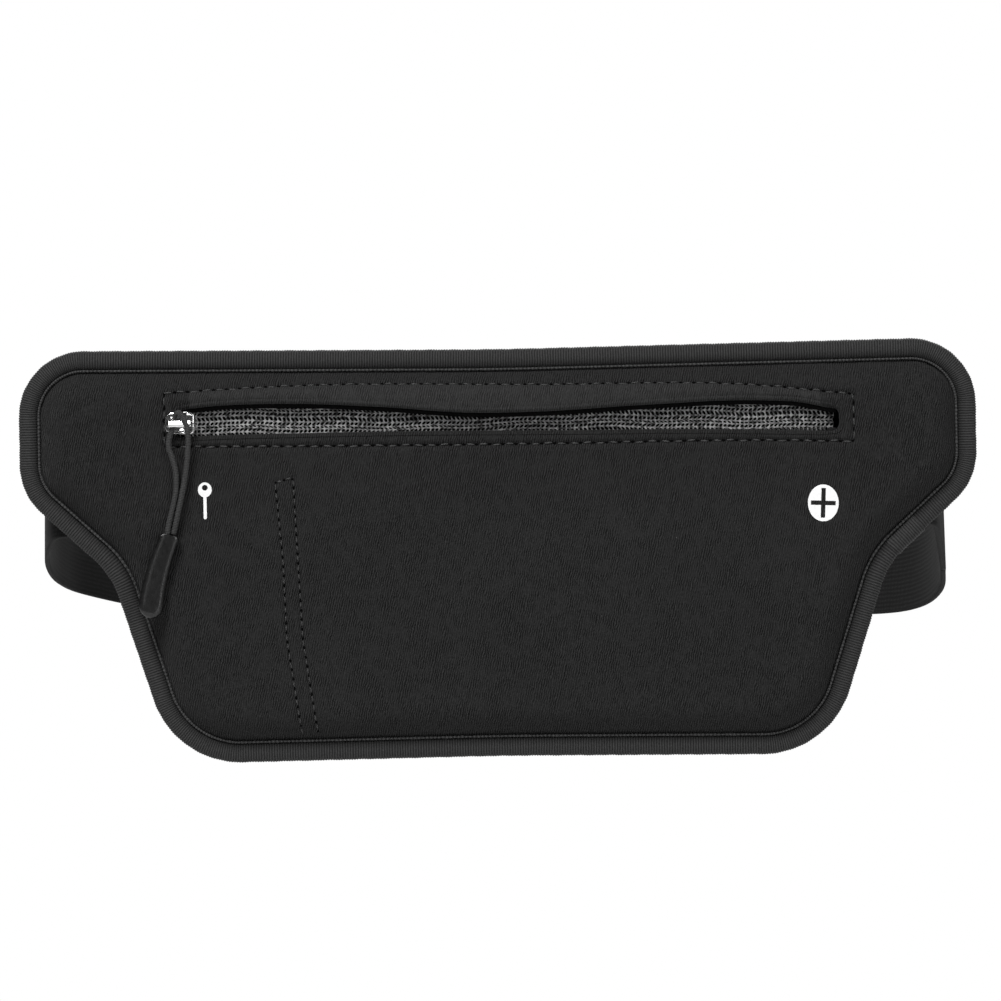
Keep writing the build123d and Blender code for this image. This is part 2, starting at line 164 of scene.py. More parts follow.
def rounded_path(corners, radii, count, closed=True):
    """Points evenly along straight runs joined by arcs, and the left-hand way out at each."""
    points = [np.array(c, float) for c in corners]
    total = len(points)
    arcs = []
    for i, (corner, radius) in enumerate(zip(points, radii)):
        way_in = corner - points[i - 1]
        way_out = points[(i + 1) % total] - corner
        if not closed and i in (0, total - 1):
            arcs.append((corner, corner, None, 0, 0, 0))
            continue
        way_in /= np.linalg.norm(way_in)
        way_out /= np.linalg.norm(way_out)
        bend = math.atan2(way_in[0] * way_out[1] - way_in[1] * way_out[0], way_in @ way_out)
        cut = radius * math.tan(abs(bend) / 2)
        first = corner - way_in * cut
        last = corner + way_out * cut
        normal = np.array((-way_in[1], way_in[0]))
        centre = first + math.copysign(radius, bend) * normal
        arcs.append((first, last, centre, bend, radius, math.atan2(normal[1], normal[0])))
    runs = []
    for i, arc in enumerate(arcs):
        if arc[2] is not None:
            runs.append((abs(arc[3]) * arc[4], arc, None))
        if closed or i < total - 1:
            following = arcs[(i + 1) % total]
            runs.append((np.linalg.norm(following[0] - arc[1]), None, (arc[1], following[0])))
    ends = np.cumsum([run[0] for run in runs])
    places = np.arange(count) / count * ends[-1] if closed else np.linspace(0, ends[-1], count)
    line = []
    ways = []
    for s in places:
        k = min(int(np.searchsorted(ends, s, "right")), len(runs) - 1)
        share = (s - ends[k] + runs[k][0]) / max(runs[k][0], 1e-9)
        if runs[k][1] is None:
            start, end = runs[k][2]
            way = (end - start) / max(np.linalg.norm(end - start), 1e-9)
            line.append(start + (end - start) * share)
            ways.append((-way[1], way[0]))
        else:
            _, _, centre, bend, radius, heading = runs[k][1]
            now = heading + bend * share
            way = np.array((math.cos(now), math.sin(now)))
            line.append(centre - math.copysign(radius, bend) * way)
            ways.append(way)
    return np.array(line), np.array(ways), ends[-1]


left_side = [(-x, z) for x, z in reversed(outline_corners[1:-1])]
pouch_corners = outline_corners + left_side
pouch_radii = outline_radii + outline_radii[-2:0:-1]
edge_points, edge_ways, edge_length = rounded_path(pouch_corners, pouch_radii, 1600)


def edge_distance(x, z):
    """How far in from the pouch's edge a place is."""
    places = np.column_stack([np.ravel(x), np.ravel(z)])
    inside = np.empty(len(places))
    for first in range(0, len(places), 4000):
        part = places[first:first + 4000]
        apart = part[:, None, :] - edge_points[None, :, :]
        nearest = np.argmin((apart ** 2).sum(2), axis=1)
        pick = apart[np.arange(len(part)), nearest]
        inside[first:first + 4000] = -(pick * edge_ways[nearest]).sum(1)
    return inside.reshape(np.shape(x))


def smooth_line(points, x):
    """Height of a smooth curve through some points at x, level past its ends."""
    xs, zs = (np.array(axis, float) for axis in zip(*points))
    slopes = np.gradient(zs, xs)
    x = np.clip(x, xs[0], xs[-1])
    k = np.clip(np.searchsorted(xs, x) - 1, 0, len(xs) - 2)
    width = xs[k + 1] - xs[k]
    t = (x - xs[k]) / width
    rise = (2 * t ** 3 - 3 * t ** 2 + 1) * zs[k] + (3 * t ** 2 - 2 * t ** 3) * zs[k + 1]
    return rise + (t ** 3 - 2 * t ** 2 + t) * width * slopes[k] + (t ** 3 - t ** 2) * width * slopes[k + 1]


def zip_stitch_top(x):
    return smooth_line([(-94, 46.2), (-55, 47.7), (10, 47.0), (74, 45.8), (100.5, 42.9)], x)


def zip_stitch_bottom(x):
    return smooth_line([(-94, 31.0), (-55, 30.6), (17, 30.3), (74, 30.3), (100.5, 29.6)], x)


divider_left = [(-63.0, 20.6), (-61.1, -1.5), (-60.35, -23.8), (-56.5, -50.4)]
divider_right = [(-57.9, 21.6), (-56.9, -1.5), (-55.85, -23.9), (-52.0, -50.4)]
divider_seam = [divider_left[3], divider_left[2], divider_left[1], divider_left[0]] + divider_right


zip_pitch = 3.67
divider_pitch = 2.65


def pulled_seam(x, z, points, pitch, depth, width):
    """How far stitches draw the cloth in round a seam: deepest at each needle hole, with a
    low swell to both sides."""
    nearest = np.full(np.shape(x), 1e9)
    along = np.zeros(np.shape(x))
    reached = 0.0
    for (x0, z0), (x1, z1) in zip(points, points[1:]):
        length = math.hypot(x1 - x0, z1 - z0)
        share = np.clip(((x - x0) * (x1 - x0) + (z - z0) * (z1 - z0)) / length ** 2, 0, 1)
        apart = np.hypot(x - x0 - share * (x1 - x0), z - z0 - share * (z1 - z0))
        closer = apart < nearest
        nearest = np.where(closer, apart, nearest)
        along = np.where(closer, reached + share * length, along)
        reached += length
    count = max(1, round(reached / pitch))
    hole = 0.5 + 0.5 * np.cos(2 * math.pi * (along / reached * count + 0.14))
    drawn = depth * (0.35 + 0.65 * hole ** 2) * np.exp(-(nearest / width) ** 2)
    return drawn - 0.3 * depth * (1 - 0.4 * hole) * np.exp(-((nearest - 2.2 * width) / (1.5 * width)) ** 2)


def frame_seam():
    """Stitched line round the zip window, closed."""
    across = np.linspace(frame_left, frame_right, 60)
    top = [(x, zip_stitch_top(x)) for x in across]
    bottom = [(x, zip_stitch_bottom(x)) for x in across[::-1]]
    return top + bottom + top[:1]


def front_depth(x, z):
    """Y of the front's face: low at the rim, then gently crowned, drawn in along each seam."""
    x = np.asarray(x, float)
    z = np.asarray(z, float)
    inside = edge_distance(x, z)
    rise = np.clip((inside - rise_start) / rise_run, 0, 1)
    rim = binding_face + 0.7
    y = rim + (front_face - rim) * np.sin(rise * math.pi / 2) ** 0.75
    y -= 0.45 * np.clip(1 - (x / 118) ** 2, 0, 1) * np.clip(inside / 40, 0, 1)
    wave = np.sin(x / 17 + 0.6) * np.sin(z / 13 + x / 60) + 0.7 * np.sin(x / 9.3 - z / 21 + 2)
    y += 0.09 * wave * rise
    y += 0.14 * np.sin(x / 3.1 + z / 19) * np.exp(-((z - zip_stitch_top(x) - 2.5) / 2.5) ** 2) * rise
    y += pulled_seam(x, z, frame_seam(), zip_pitch, 0.75, 0.75)
    y += pulled_seam(x, z, divider_seam, divider_pitch, 0.75, 0.7)
    return y


def wrapped_grid(name, across, along, place, size=(1, 1), merge=0.0):
    """Sheet of quads, a share u across and v along at each vertex, put in place by a function.
    Its map holds real lengths, and a sheet that meets itself is merged along the meeting."""
    form = bmesh.new()
    bmesh.ops.create_grid(form, x_segments=across, y_segments=along, size=0.5)
    shares = np.array([vert.co[:2] for vert in form.verts]) + 0.5
    shares = np.round(shares * (across, along)) / (across, along)
    chart = form.loops.layers.uv.new("lengths")
    form.verts.index_update()
    for face in form.faces:
        face.smooth = True
        for loop in face.loops:
            loop[chart].uv = shares[loop.vert.index] * size
    places = place(shares[:, 0], shares[:, 1])
    for vert, where in zip(form.verts, places):
        vert.co = where
    if merge:
        bmesh.ops.remove_doubles(form, verts=form.verts, dist=merge)
        bmesh.ops.recalc_face_normals(form, faces=form.faces)
    return finished(name, form)


def finished(name, form):
    """The form as an object of the scene."""
    mesh = bpy.data.meshes.new(name)
    form.to_mesh(mesh)
    form.free()
    piece = bpy.data.objects.new(name, mesh)
    scene.collection.objects.link(piece)
    return piece


def metres(x, y, z):
    return np.column_stack([np.ravel(x), np.ravel(y), np.ravel(z)]) * mm


def panel_span(inset):
    """Ends, lower line and upper line of the pouch's outline drawn in by an inset."""
    ring = edge_points - edge_ways * inset
    half = ring[:, 0].max() - 1e-3
    middle = 33.0
    turn_right = int(np.argmin(np.hypot(ring[:, 0] - half, ring[:, 1] - middle)))
    turn_left = int(np.argmin(np.hypot(ring[:, 0] + half, ring[:, 1] - middle)))
    upper = np.concatenate([ring[turn_left:], ring[:turn_right]])
    lower = ring[turn_right:turn_left][::-1]

    def high(x):
        return np.interp(x, upper[:, 0], upper[:, 1])

    def low(x):
        return np.interp(x, lower[:, 0], lower[:, 1])

    return half, low, high


front_half, front_low, front_high = panel_span(rim_inset)
column_marks = [0, 40, 70, 108, 262, 302]
row_marks = [0, 88, 98, 118]


def front_place(u, v):
    """Columns and rows of the front, some of them along the sides of the zip window."""
    beside_left = divider_left[0][0] - 3
    beside_right = divider_right[3][0] + 3
    stops = [-front_half, frame_left, beside_left, beside_right, frame_right, front_half]
    x = np.interp(u * column_marks[-1], column_marks, stops)
    low = front_low(x)
    high = front_high(x)
    held = np.clip(x, frame_left, frame_right)
    span = front_high(held) - front_low(held)
    bottom = (zip_stitch_bottom(held) - front_low(held)) / span
    top = (zip_stitch_top(held) - front_low(held)) / span
    row = v * row_marks[-1]
    below = np.clip(row / row_marks[1], 0, 1)
    share = np.where(row < row_marks[1], bottom * (1 - (1 - below) ** 1.25), 0)
    middle = bottom + (top - bottom) * (row - row_marks[1]) / (row_marks[2] - row_marks[1])
    share = np.where((row >= row_marks[1]) & (row <= row_marks[2]), middle, share)
    above = top + (1 - top) * np.clip((row - row_marks[2]) / (row_marks[3] - row_marks[2]), 0, 1) ** 1.3
    share = np.where(row > row_marks[2], above, share)
    z = low + (high - low) * share
    return metres(x, front_depth(x, z), z)


def facing_out(piece, way):
    """Turns an open sheet's faces to look along a direction."""
    form = bmesh.new()
    form.from_mesh(piece.data)
    form.normal_update()
    total = sum((face.normal * face.calc_area() for face in form.faces), Vector())
    if total.dot(Vector(way)) < 0:
        bmesh.ops.reverse_faces(form, faces=form.faces)
    form.to_mesh(piece.data)
    form.free()


def give_thickness(piece, thickness):
    """Closes a sheet behind its face."""
    wall = piece.modifiers.new("thickness", "SOLIDIFY")
    wall.thickness = thickness
    wall.offset = -1
    wall.use_even_offset = True


front_panel = wrapped_grid("front_cloth", column_marks[-1], row_marks[-1], front_place)
form = bmesh.new()
form.from_mesh(front_panel.data)
window = []
for face in form.faces:
    middle = face.calc_center_median() / mm
    between = zip_stitch_bottom(middle.x) < middle.z < zip_stitch_top(middle.x)
    if frame_left < middle.x < frame_right and between:
        window.append(face)
bmesh.ops.delete(form, geom=window, context="FACES")
form.to_mesh(front_panel.data)
form.free()
facing_out(front_panel, (0, -1, 0))
give_thickness(front_panel, panel_thickness * mm)


def new_group(name, inputs, outputs):
    """Empty node group with named inputs and outputs."""
    group = bpy.data.node_groups.new(name, "ShaderNodeTree")
    for label, kind in inputs:
        group.interface.new_socket(label, in_out="INPUT", socket_type=kind)
    for label, kind in outputs:
        group.interface.new_socket(label, in_out="OUTPUT", socket_type=kind)
    return group, group.nodes.new("NodeGroupInput"), group.nodes.new("NodeGroupOutput")


def math_node(tree, operation, first, second=0.0):
    return add(tree, "ShaderNodeMath", {0: first, 1: second}, operation=operation).outputs[0]


# Cloth tone: slow mottling from handling, and the fine fuzz of loose fibre ends.
cloth_group, cloth_in, cloth_out = new_group(
    "cloth_tone",
    [("Vector", "NodeSocketVector"), ("Fuzz Scale", "NodeSocketFloat")],
    [("Mottle", "NodeSocketFloat"), ("Fuzz", "NodeSocketFloat")],
)
slow = add(cloth_group, "ShaderNodeTexNoise", {"Vector": cloth_in.outputs[0], "Scale": 38, "Detail": 4})
fuzz = add(cloth_group, "ShaderNodeTexNoise", {"Vector": cloth_in.outputs[0], "Detail": 2})
cloth_group.links.new(cloth_in.outputs[1], fuzz.inputs["Scale"])
cloth_group.links.new(slow.outputs["Fac"], cloth_out.inputs[0])
cloth_group.links.new(fuzz.outputs["Fac"], cloth_out.inputs[1])

# Knit wales: the steep, slightly uneven lines of the jersey.
knit_group, knit_in, knit_out = new_group(
    "knit_wales",
    [("Vector", "NodeSocketVector"), ("Lines", "NodeSocketFloat")],
    [("Wales", "NodeSocketFloat")],
)
leaning = add(knit_group, "ShaderNodeMapping", {
    "Vector": knit_in.outputs[0],
    "Rotation": (0, math.radians(-13), 0),
})
flat = add(knit_group, "ShaderNodeMapping", {"Vector": leaning.outputs[0], "Scale": (1, 0.3, 0.85)})
lines = add(knit_group, "ShaderNodeTexWave", {
    "Vector": flat.outputs[0],
    "Distortion": 5,
    "Detail": 2,
    "Detail Scale": 1.2,
})
knit_group.links.new(knit_in.outputs[1], lines.inputs["Scale"])
patch = add(knit_group, "ShaderNodeTexNoise", {"Vector": knit_in.outputs[0], "Scale": 330, "Detail": 2})
strength = add(knit_group, "ShaderNodeMapRange", {0: patch.outputs["Fac"], 1: 0.35, 2: 0.6, 3: 0.25, 4: 1})
centred = math_node(knit_group, "ADD", lines.outputs["Fac"], -0.5)
faded = math_node(knit_group, "MULTIPLY", centred, strength.outputs[0])
knit_group.links.new(math_node(knit_group, "ADD", faded, 0.5), knit_out.inputs[0])


def use_group(tree, group, inputs):
    return add(tree, "ShaderNodeGroup", inputs, node_tree=group)


def new_material(name):
    material = bpy.data.materials.new(name)
    material.use_nodes = True
    material.node_tree.nodes.clear()
    return material, material.node_tree


def finish_surface(tree, inputs, height=None, bump_depth=0.0, strength=1.0):
    """Closes a material with its principled shader, roughened by a bump if one is given."""
    if height is not None:
        bump = add(tree, "ShaderNodeBump", {"Height": height, "Distance": bump_depth, "Strength": strength})
        inputs = {**inputs, "Normal": bump.outputs[0]}
    shader = add(tree, "ShaderNodeBsdfPrincipled", inputs)
    add(tree, "ShaderNodeOutputMaterial", {"Surface": shader.outputs[0]})


def tone_ramp(tree, value, dark, light, low=0.3, high=0.7):
    """Grey between two levels as a value goes from low to high."""
    spread = add(tree, "ShaderNodeMapRange", {0: value, 1: low, 2: high, 3: dark, 4: light})
    return spread.outputs[0]


def blended(tree, *parts):
    """Sum of values, each given with its share."""
    total = 0.0
    for value, share in parts:
        total = math_node(tree, "ADD", math_node(tree, "MULTIPLY", value, share), total)
    return total


def jersey_material(name, dark, light):
    """Black jersey face of the neoprene, with a few pale specks of lint caught on it."""
    material, tree = new_material(name)
    where = add(tree, "ShaderNodeTexCoord").outputs["Object"]
    wales = use_group(tree, knit_group, {"Vector": where, "Lines": 500}).outputs[0]
    cloth = use_group(tree, cloth_group, {"Vector": where, "Fuzz Scale": 1500})
    mixed = blended(tree, (wales, 0.55), (cloth.outputs[1], 0.45))
    mottled = blended(tree, (mixed, 0.9), (cloth.outputs[0], 0.1))
    tone = tone_ramp(tree, mottled, dark, light, 0.25, 0.75)
    cells = add(tree, "ShaderNodeTexVoronoi", {"Vector": where, "Scale": 420})
    near = add(tree, "ShaderNodeMapRange", {0: cells.outputs["Distance"], 1: 0.06, 2: 0.03, 3: 0, 4: 1})
    chance = add(tree, "ShaderNodeSeparateColor", {0: cells.outputs["Color"]}).outputs[0]
    picked = math_node(tree, "GREATER_THAN", chance, 0.985)
    lint = math_node(tree, "MULTIPLY", math_node(tree, "MULTIPLY", near.outputs[0], picked), 0.09)
    tone = math_node(tree, "ADD", tone, lint)
    finish_surface(tree, {
        "Base Color": tone,
        "Roughness": 0.85,
        "Specular IOR Level": 0.08,
        "Sheen Weight": 0.04,
        "Sheen Roughness": 0.5,
    }, mixed, 0.0004, 1.0)
    return material


jersey = jersey_material("neoprene_jersey", 0.003, 0.027)
# Upper lip jersey: the same cloth coloured lighter, a painted highlight for the lip's face turned up to the
# key light.
lit_lip_jersey = jersey_material("neoprene_lip_painted_light", 0.01, 0.037)
front_panel.data.materials.append(jersey)
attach(front_panel, "pouch")
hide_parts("front_panel")

# Back panel: the same neoprene against the wearer, flat, its rim in the binding too.
back_half, back_low, back_high = panel_span(1.2)
back_columns = 240
back_rows = 96
back_swell = 0.5


def back_place(u, v):
    x = (2 * u - 1) * back_half
    z = back_low(x) + (back_high(x) - back_low(x)) * v
    inside = edge_distance(x, z)
    y = back_swell * np.clip((inside - rise_start) / 14, 0, 1) ** 0.7 * (inside > rise_start)
    y += 0.12 * np.sin(x / 23 + 1) * np.sin(z / 15) * np.clip(inside / 20, 0, 1)
    return metres(x, y, z)


back_panel = wrapped_grid("back_cloth", back_columns, back_rows, back_place)
facing_out(back_panel, (0, 1, 0))
give_thickness(back_panel, 2.3 * mm)
back_jersey = jersey_material("neoprene_back", 0.003, 0.024)
back_panel.data.materials.append(back_jersey)
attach(back_panel, "pouch")
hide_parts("back_panel")

# Edge binding: ribbed elastic tape folded round both rims and stitched down near its inner
# edge, with its ends lapped at the lower right.
binding_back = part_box("edge_binding")[1].y / mm
rib_pitch = 0.74
samples_per_rib = 4
rib_count = int(edge_length / rib_pitch)
binding_profile = [
    (5.45, binding_face + 1.2), (5.4, binding_face + 0.75), (5.05, binding_face + 0.35),
    (4.4, binding_face + 0.1), (3.4, binding_face - 0.05), (2.2, binding_face),
    (1.2, binding_face + 0.3), (0.45, binding_face + 0.95), (0.08, binding_face + 1.8),
    (0.0, binding_face + 2.8), (0.3, binding_back - 0.9), (1.1, binding_back - 0.2),
    (2.6, binding_back + 0.05), (4.4, binding_back), (5.2, binding_back - 0.2),
    (5.2, binding_back - 0.5), (1.4, binding_back - 0.75), (0.8, -2.2), (1.4, binding_face + 0.9),
]


def closed_profile(points, v):
    """Place on a closed line through some points, a share v of the way round."""
    ring = np.array(points + points[:1], float)
    places = v * (len(ring) - 1)
    k = np.clip(places.astype(int), 0, len(ring) - 2)
    t = (places - k)[:, None]
    return ring[k] * (1 - t) + ring[k + 1] * t


def girth_of(profile):
    """Length of a closed line through some points."""
    return np.linalg.norm(np.diff(np.array(profile + profile[:1], float), axis=0), axis=1).sum()


def swept_edge(name, profile, count, ribs, depth, part=None):
    """A closed profile of insets and depths carried round the pouch's edge, or between two
    places on it, ribbed across."""
    line, ways, length = rounded_path(pouch_corners, pouch_radii, count)
    line = np.vstack([line, line[:1]])
    ways = np.vstack([ways, ways[:1]])
    first, last = (int(np.argmin(np.hypot(*(line - end).T))) for end in part) if part else (0, count)
    total = last - first

    def place(u, v):
        step = first + np.round(u * total).astype(int)
        u = step / count
        section = closed_profile(profile, v)
        middle = np.mean(profile, axis=0)
        out = section - middle
        out /= np.maximum(np.linalg.norm(out, axis=1), 1e-6)[:, None]
        rib = np.cos(2 * math.pi * u * ribs)
        lump = 0.5 * np.sin(u * 977) + 0.5 * np.sin(u * 431 + 1)
        section = section + out * (depth * rib + 0.06 * lump)[:, None]
        spot = line[step] - ways[step] * section[:, :1]
        return metres(spot[:, 0], section[:, 1], spot[:, 1])

    size = (length * total / count * mm, girth_of(profile) * mm)
    return wrapped_grid(name, total, len(profile), place, size, 1e-6)


binding = swept_edge("binding_tape", binding_profile, rib_count * samples_per_rib, rib_count, 0.1)


def elastic_material(name, dark, light, rough, rib_length, inner_shade=None):
    """Black covered elastic: its ribs, fine yarns along it and fuzz. An inner shade, if given, is two
    distances round the tape from its inner edge:
    there the colour is darkened as painted shade, in full as far as the first distance and fading out by the
    second."""
    material, tree = new_material(name)
    where = add(tree, "ShaderNodeTexCoord")
    yarn = add(tree, "ShaderNodeMapping", {"Vector": where.outputs["UV"], "Scale": (0.5, 2.4, 1)})
    strands = add(tree, "ShaderNodeTexNoise", {"Vector": yarn.outputs[0], "Scale": 1500, "Detail": 3})
    cloth = use_group(tree, cloth_group, {"Vector": where.outputs["Object"], "Fuzz Scale": 3000})
    bands = add(tree, "ShaderNodeTexWave", {
        "Vector": where.outputs["UV"],
        "Scale": math.pi / 10 / (rib_length * mm),
        "Distortion": 1.3,
        "Detail": 1,
    })
    ridge = math_node(tree, "SUBTRACT", 1.0, bands.outputs["Fac"])
    mixed = blended(tree, (strands.outputs["Fac"], 0.35), (cloth.outputs[1], 0.25), (ridge, 0.4))
    tone = tone_ramp(tree, mixed, dark, light, 0.2, 0.8)
    if inner_shade:
        # Painted shade: the tone is darkened to a fifth along the tape's inner edge.
        height = add(tree, "ShaderNodeSeparateXYZ", {0: where.outputs["UV"]}).outputs[1]
        lit = add(tree, "ShaderNodeMapRange", {0: height, 1: inner_shade[0] * mm, 2: inner_shade[1] * mm, 3: 0.2, 4: 1})
        tone = math_node(tree, "MULTIPLY", tone, lit.outputs[0])
    finish_surface(tree, {
        "Base Color": tone,
        "Roughness": rough,
        "Specular IOR Level": 0.15,
        "Sheen Weight": 0.08,
    }, mixed, 0.0002, 0.8)
    return material


profile_step = girth_of(binding_profile) / len(binding_profile)
# Painted shade along the binding's inner edge, next to the bead, where the hollow is in shadow.
binding_groove_shade = (1.5 * profile_step, 4.4 * profile_step)
rib_length = edge_length / rib_count
elastic = elastic_material("binding_elastic", 0.002, 0.046, 0.75, rib_length, binding_groove_shade)
binding.data.materials.append(elastic)
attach(binding, "pouch")
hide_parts("edge_binding")

# Binding lap: the short second layer where the tape's end is laid over its start, sewn down
# with it at the lower right.
lap_profile = [
    (-0.35, binding_face + 2.8), (0.0, binding_face + 1.2), (1.0, binding_face), (2.2, binding_face - 0.4),
    (3.6, binding_face - 0.42), (4.8, binding_face - 0.1), (5.0, binding_face + 0.3),
    (3.4, binding_face + 0.15), (1.6, binding_face + 0.3), (0.3, binding_face + 1.2),
    (0.1, binding_face + 2.8),
]
lap_start = (119.5, 5.5)
lap_end = (112.3, -1.5)


def close_ends(piece, flat_ends=False):
    """Caps the open ends of a tube, and keeps the caps flat if asked."""
    form = bmesh.new()
    form.from_mesh(piece.data)
    bmesh.ops.holes_fill(form, edges=[edge for edge in form.edges if edge.is_boundary], sides=0)
    bmesh.ops.recalc_face_normals(form, faces=form.faces)
    if flat_ends:
        for face in form.faces:
            face.smooth = len(face.verts) == 4
    form.to_mesh(piece.data)
    form.free()


lap_count = rib_count * samples_per_rib
lap = swept_edge("binding_lap", lap_profile, lap_count, rib_count, 0.06, (lap_start, lap_end))
close_ends(lap, flat_ends=True)
lap_elastic = elastic_material("lap_elastic", 0.002, 0.046, 0.75, rib_length)
lap.data.materials.append(lap_elastic)
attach(lap, "pouch")

# Bead: a thin raised cord of the same elastic along the binding's inner edge, which covers
# the row of stitches.
bead_inset = 5.8
bead_ribs = 620
bead_profile = []
for step in range(10):
    angle = 2 * math.pi * step / 10
    inset = bead_inset + 0.3 * math.cos(angle)
    bead_profile.append((inset, binding_face + 0.1 + 0.45 * math.sin(angle)))
bead = swept_edge("binding_bead_cord", bead_profile, 1900, bead_ribs, 0.03)
# The bead's elastic is coloured lighter than the binding's: a painted highlight for the raised cord's lit
# face.
bead_elastic_painted_light = elastic_material("bead_elastic_painted_light", 0.008, 0.06, 0.6, edge_length / bead_ribs)
bead.data.materials.append(bead_elastic_painted_light)
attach(bead, "pouch")
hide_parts("binding_bead")

# Mesh lining: open warp-knit mesh behind the zip, its holes in pairs of rows, hanging in
# slack folds inside the pocket. Out of sight it goes on as a plain sheet, which also lies just behind
# the mesh and is coloured near black: painted shade for the dark pocket seen through the holes.
mesh_pitch = 1.2
mesh_columns = 158
mesh_rows = 14
mesh_left = -94.6
mesh_low = 29.5
half_thread = 0.1
lining_rest = -3.6


def lining_depth(x, z):
    """Slack folds of the lining."""
    fold = 0.45 * np.sin(x / 8.5 + z / 5) + 0.3 * np.sin(x / 3.7 - z / 2.3 + 1)
    fold = fold + 0.3 * np.sin(z / 1.9 + x / 31)
    return lining_rest + (0.5 * fold - 2.7) * np.exp(-((z - 37.5) / 11) ** 2)


def mesh_place(u, v):
    row = v * mesh_rows
    column = u * mesh_columns
    stagger = 0.25 * np.where(np.round(row) % 2 == 1, 1, -1)
    pair = 0.14 * np.where(np.round(row) % 4 < 2, 1, -1)
    x = mesh_left + (column + stagger) * mesh_pitch + 0.12 * np.sin(row * 1.9 + column / 5)
    z = mesh_low + (row + pair) * mesh_pitch * 0.98 + 0.5 * np.sin(x / 17) + 0.2 * np.sin(x / 4.1)
    return metres(x, lining_depth(x, z), z)


lining = wrapped_grid("lining_mesh", mesh_columns, mesh_rows, mesh_place)
form = bmesh.new()
form.from_mesh(lining.data)
holes = bmesh.ops.inset_individual(
    form, faces=form.faces[:], thickness=half_thread * mm, use_even_offset=True,
)
ring = set(holes["faces"])
bmesh.ops.delete(form, geom=[face for face in form.faces if face not in ring], context="FACES_ONLY")
form.to_mesh(lining.data)
form.free()
facing_out(lining, (0, -1, 0))
give_thickness(lining, 2 * half_thread * mm)
rounding = lining.modifiers.new("rounding", "SUBSURF")
rounding.levels = 1
rounding.render_levels = 1
mesh_cloth, tree = new_material("lining_knit")
where = add(tree, "ShaderNodeTexCoord").outputs["Object"]
knots = add(tree, "ShaderNodeTexNoise", {"Vector": where, "Scale": 1000, "Detail": 3}).outputs["Fac"]
tone = tone_ramp(tree, knots, 0.015, 0.4, 0.38, 0.64)
finish_surface(tree, {"Base Color": tone, "Roughness": 0.5, "Specular IOR Level": 0.5}, knots, 0.0001, 0.8)
lining.data.materials.append(mesh_cloth)
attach(lining, "pouch")

lining_half, lining_low, lining_high = panel_span(10.5)


def lining_place(u, v):
    x = (2 * u - 1) * lining_half
    z = lining_low(x) + (lining_high(x) - lining_low(x)) * v
    return metres(x, np.maximum(lining_depth(x, z) + 0.9, -4.4), z)


lining_sheet = wrapped_grid("lining_sheet", 120, 50, lining_place)
facing_out(lining_sheet, (0, -1, 0))
give_thickness(lining_sheet, 0.3 * mm)
# Near-black lining cloth: painted shade for the dark inside of the pocket seen through the mesh; the divider
# inside takes it too.
lining_painted_shade, tree = new_material("lining_cloth_painted_shade")
where = add(tree, "ShaderNodeTexCoord").outputs["Object"]
cells = add(tree, "ShaderNodeTexVoronoi", {"Vector": where, "Scale": 850})
cloth = use_group(tree, cloth_group, {"Vector": where, "Fuzz Scale": 2200})
mixed = math_node(tree, "MULTIPLY", cells.outputs["Distance"], cloth.outputs[1])
tone = tone_ramp(tree, mixed, 0.001, 0.004, 0.05, 0.4)
finish_surface(tree, {"Base Color": tone, "Roughness": 0.8, "Specular IOR Level": 0.1}, mixed, 0.0002)
lining_sheet.data.materials.append(lining_painted_shade)
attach(lining_sheet, "pouch")
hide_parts("mesh_lining")

# Pocket divider: a strip of lining cloth between the two stitch lines, from the front panel
# back to the lining, which keeps keys apart from the rest.
divider_low, divider_high = (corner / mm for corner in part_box("pocket_divider"))
divider_line = [(-44, -55.1), (-23.9, -58.1), (-1.5, -59), (21.1, -60.4)]


def divider_place(u, v):
    z = divider_low.z + (divider_high.z - divider_low.z) * v
    x = smooth_line(divider_line, z)
    y = divider_low.y + 0.5 + (divider_high.y - divider_low.y - 1.2) * u
    return metres(x + 0.5 * np.sin(u * 5 + z / 9), y, z)


divider = wrapped_grid("divider_cloth", 8, 60, divider_place)
facing_out(divider, (-1, 0, 0))
give_thickness(divider, 0.5 * mm)
divider.data.materials.append(lining_painted_shade)
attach(divider, "pouch")
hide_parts("pocket_divider")

# Zip lips: the window's edges turned under, with a crease a little in from each fold. The
# upper one stands a little proud and covers the lower one where they meet when closed.
slot_upper = [
    (-96, 40.2), (-85, 41.8), (-56, 42.5), (-33, 41.3), (-8, 39.3), (12, 39.3), (40, 40.65),
    (74, 41.5), (85, 40.85), (95, 38.9), (98, 38.6),
]
slot_lower = [
    (-96, 33.4), (-85, 33.9), (-56, 34.3), (-27, 34.4), (18, 34.0), (57, 33.7), (85, 32.95), (98, 32.5),
]
fold_width = 1.3
fold_rise = 0.22
lip_thickness = 1.3
lip_left = -93.4
lip_right = 97.6
front_steps = 14
fold_steps = 8
back_steps = 6


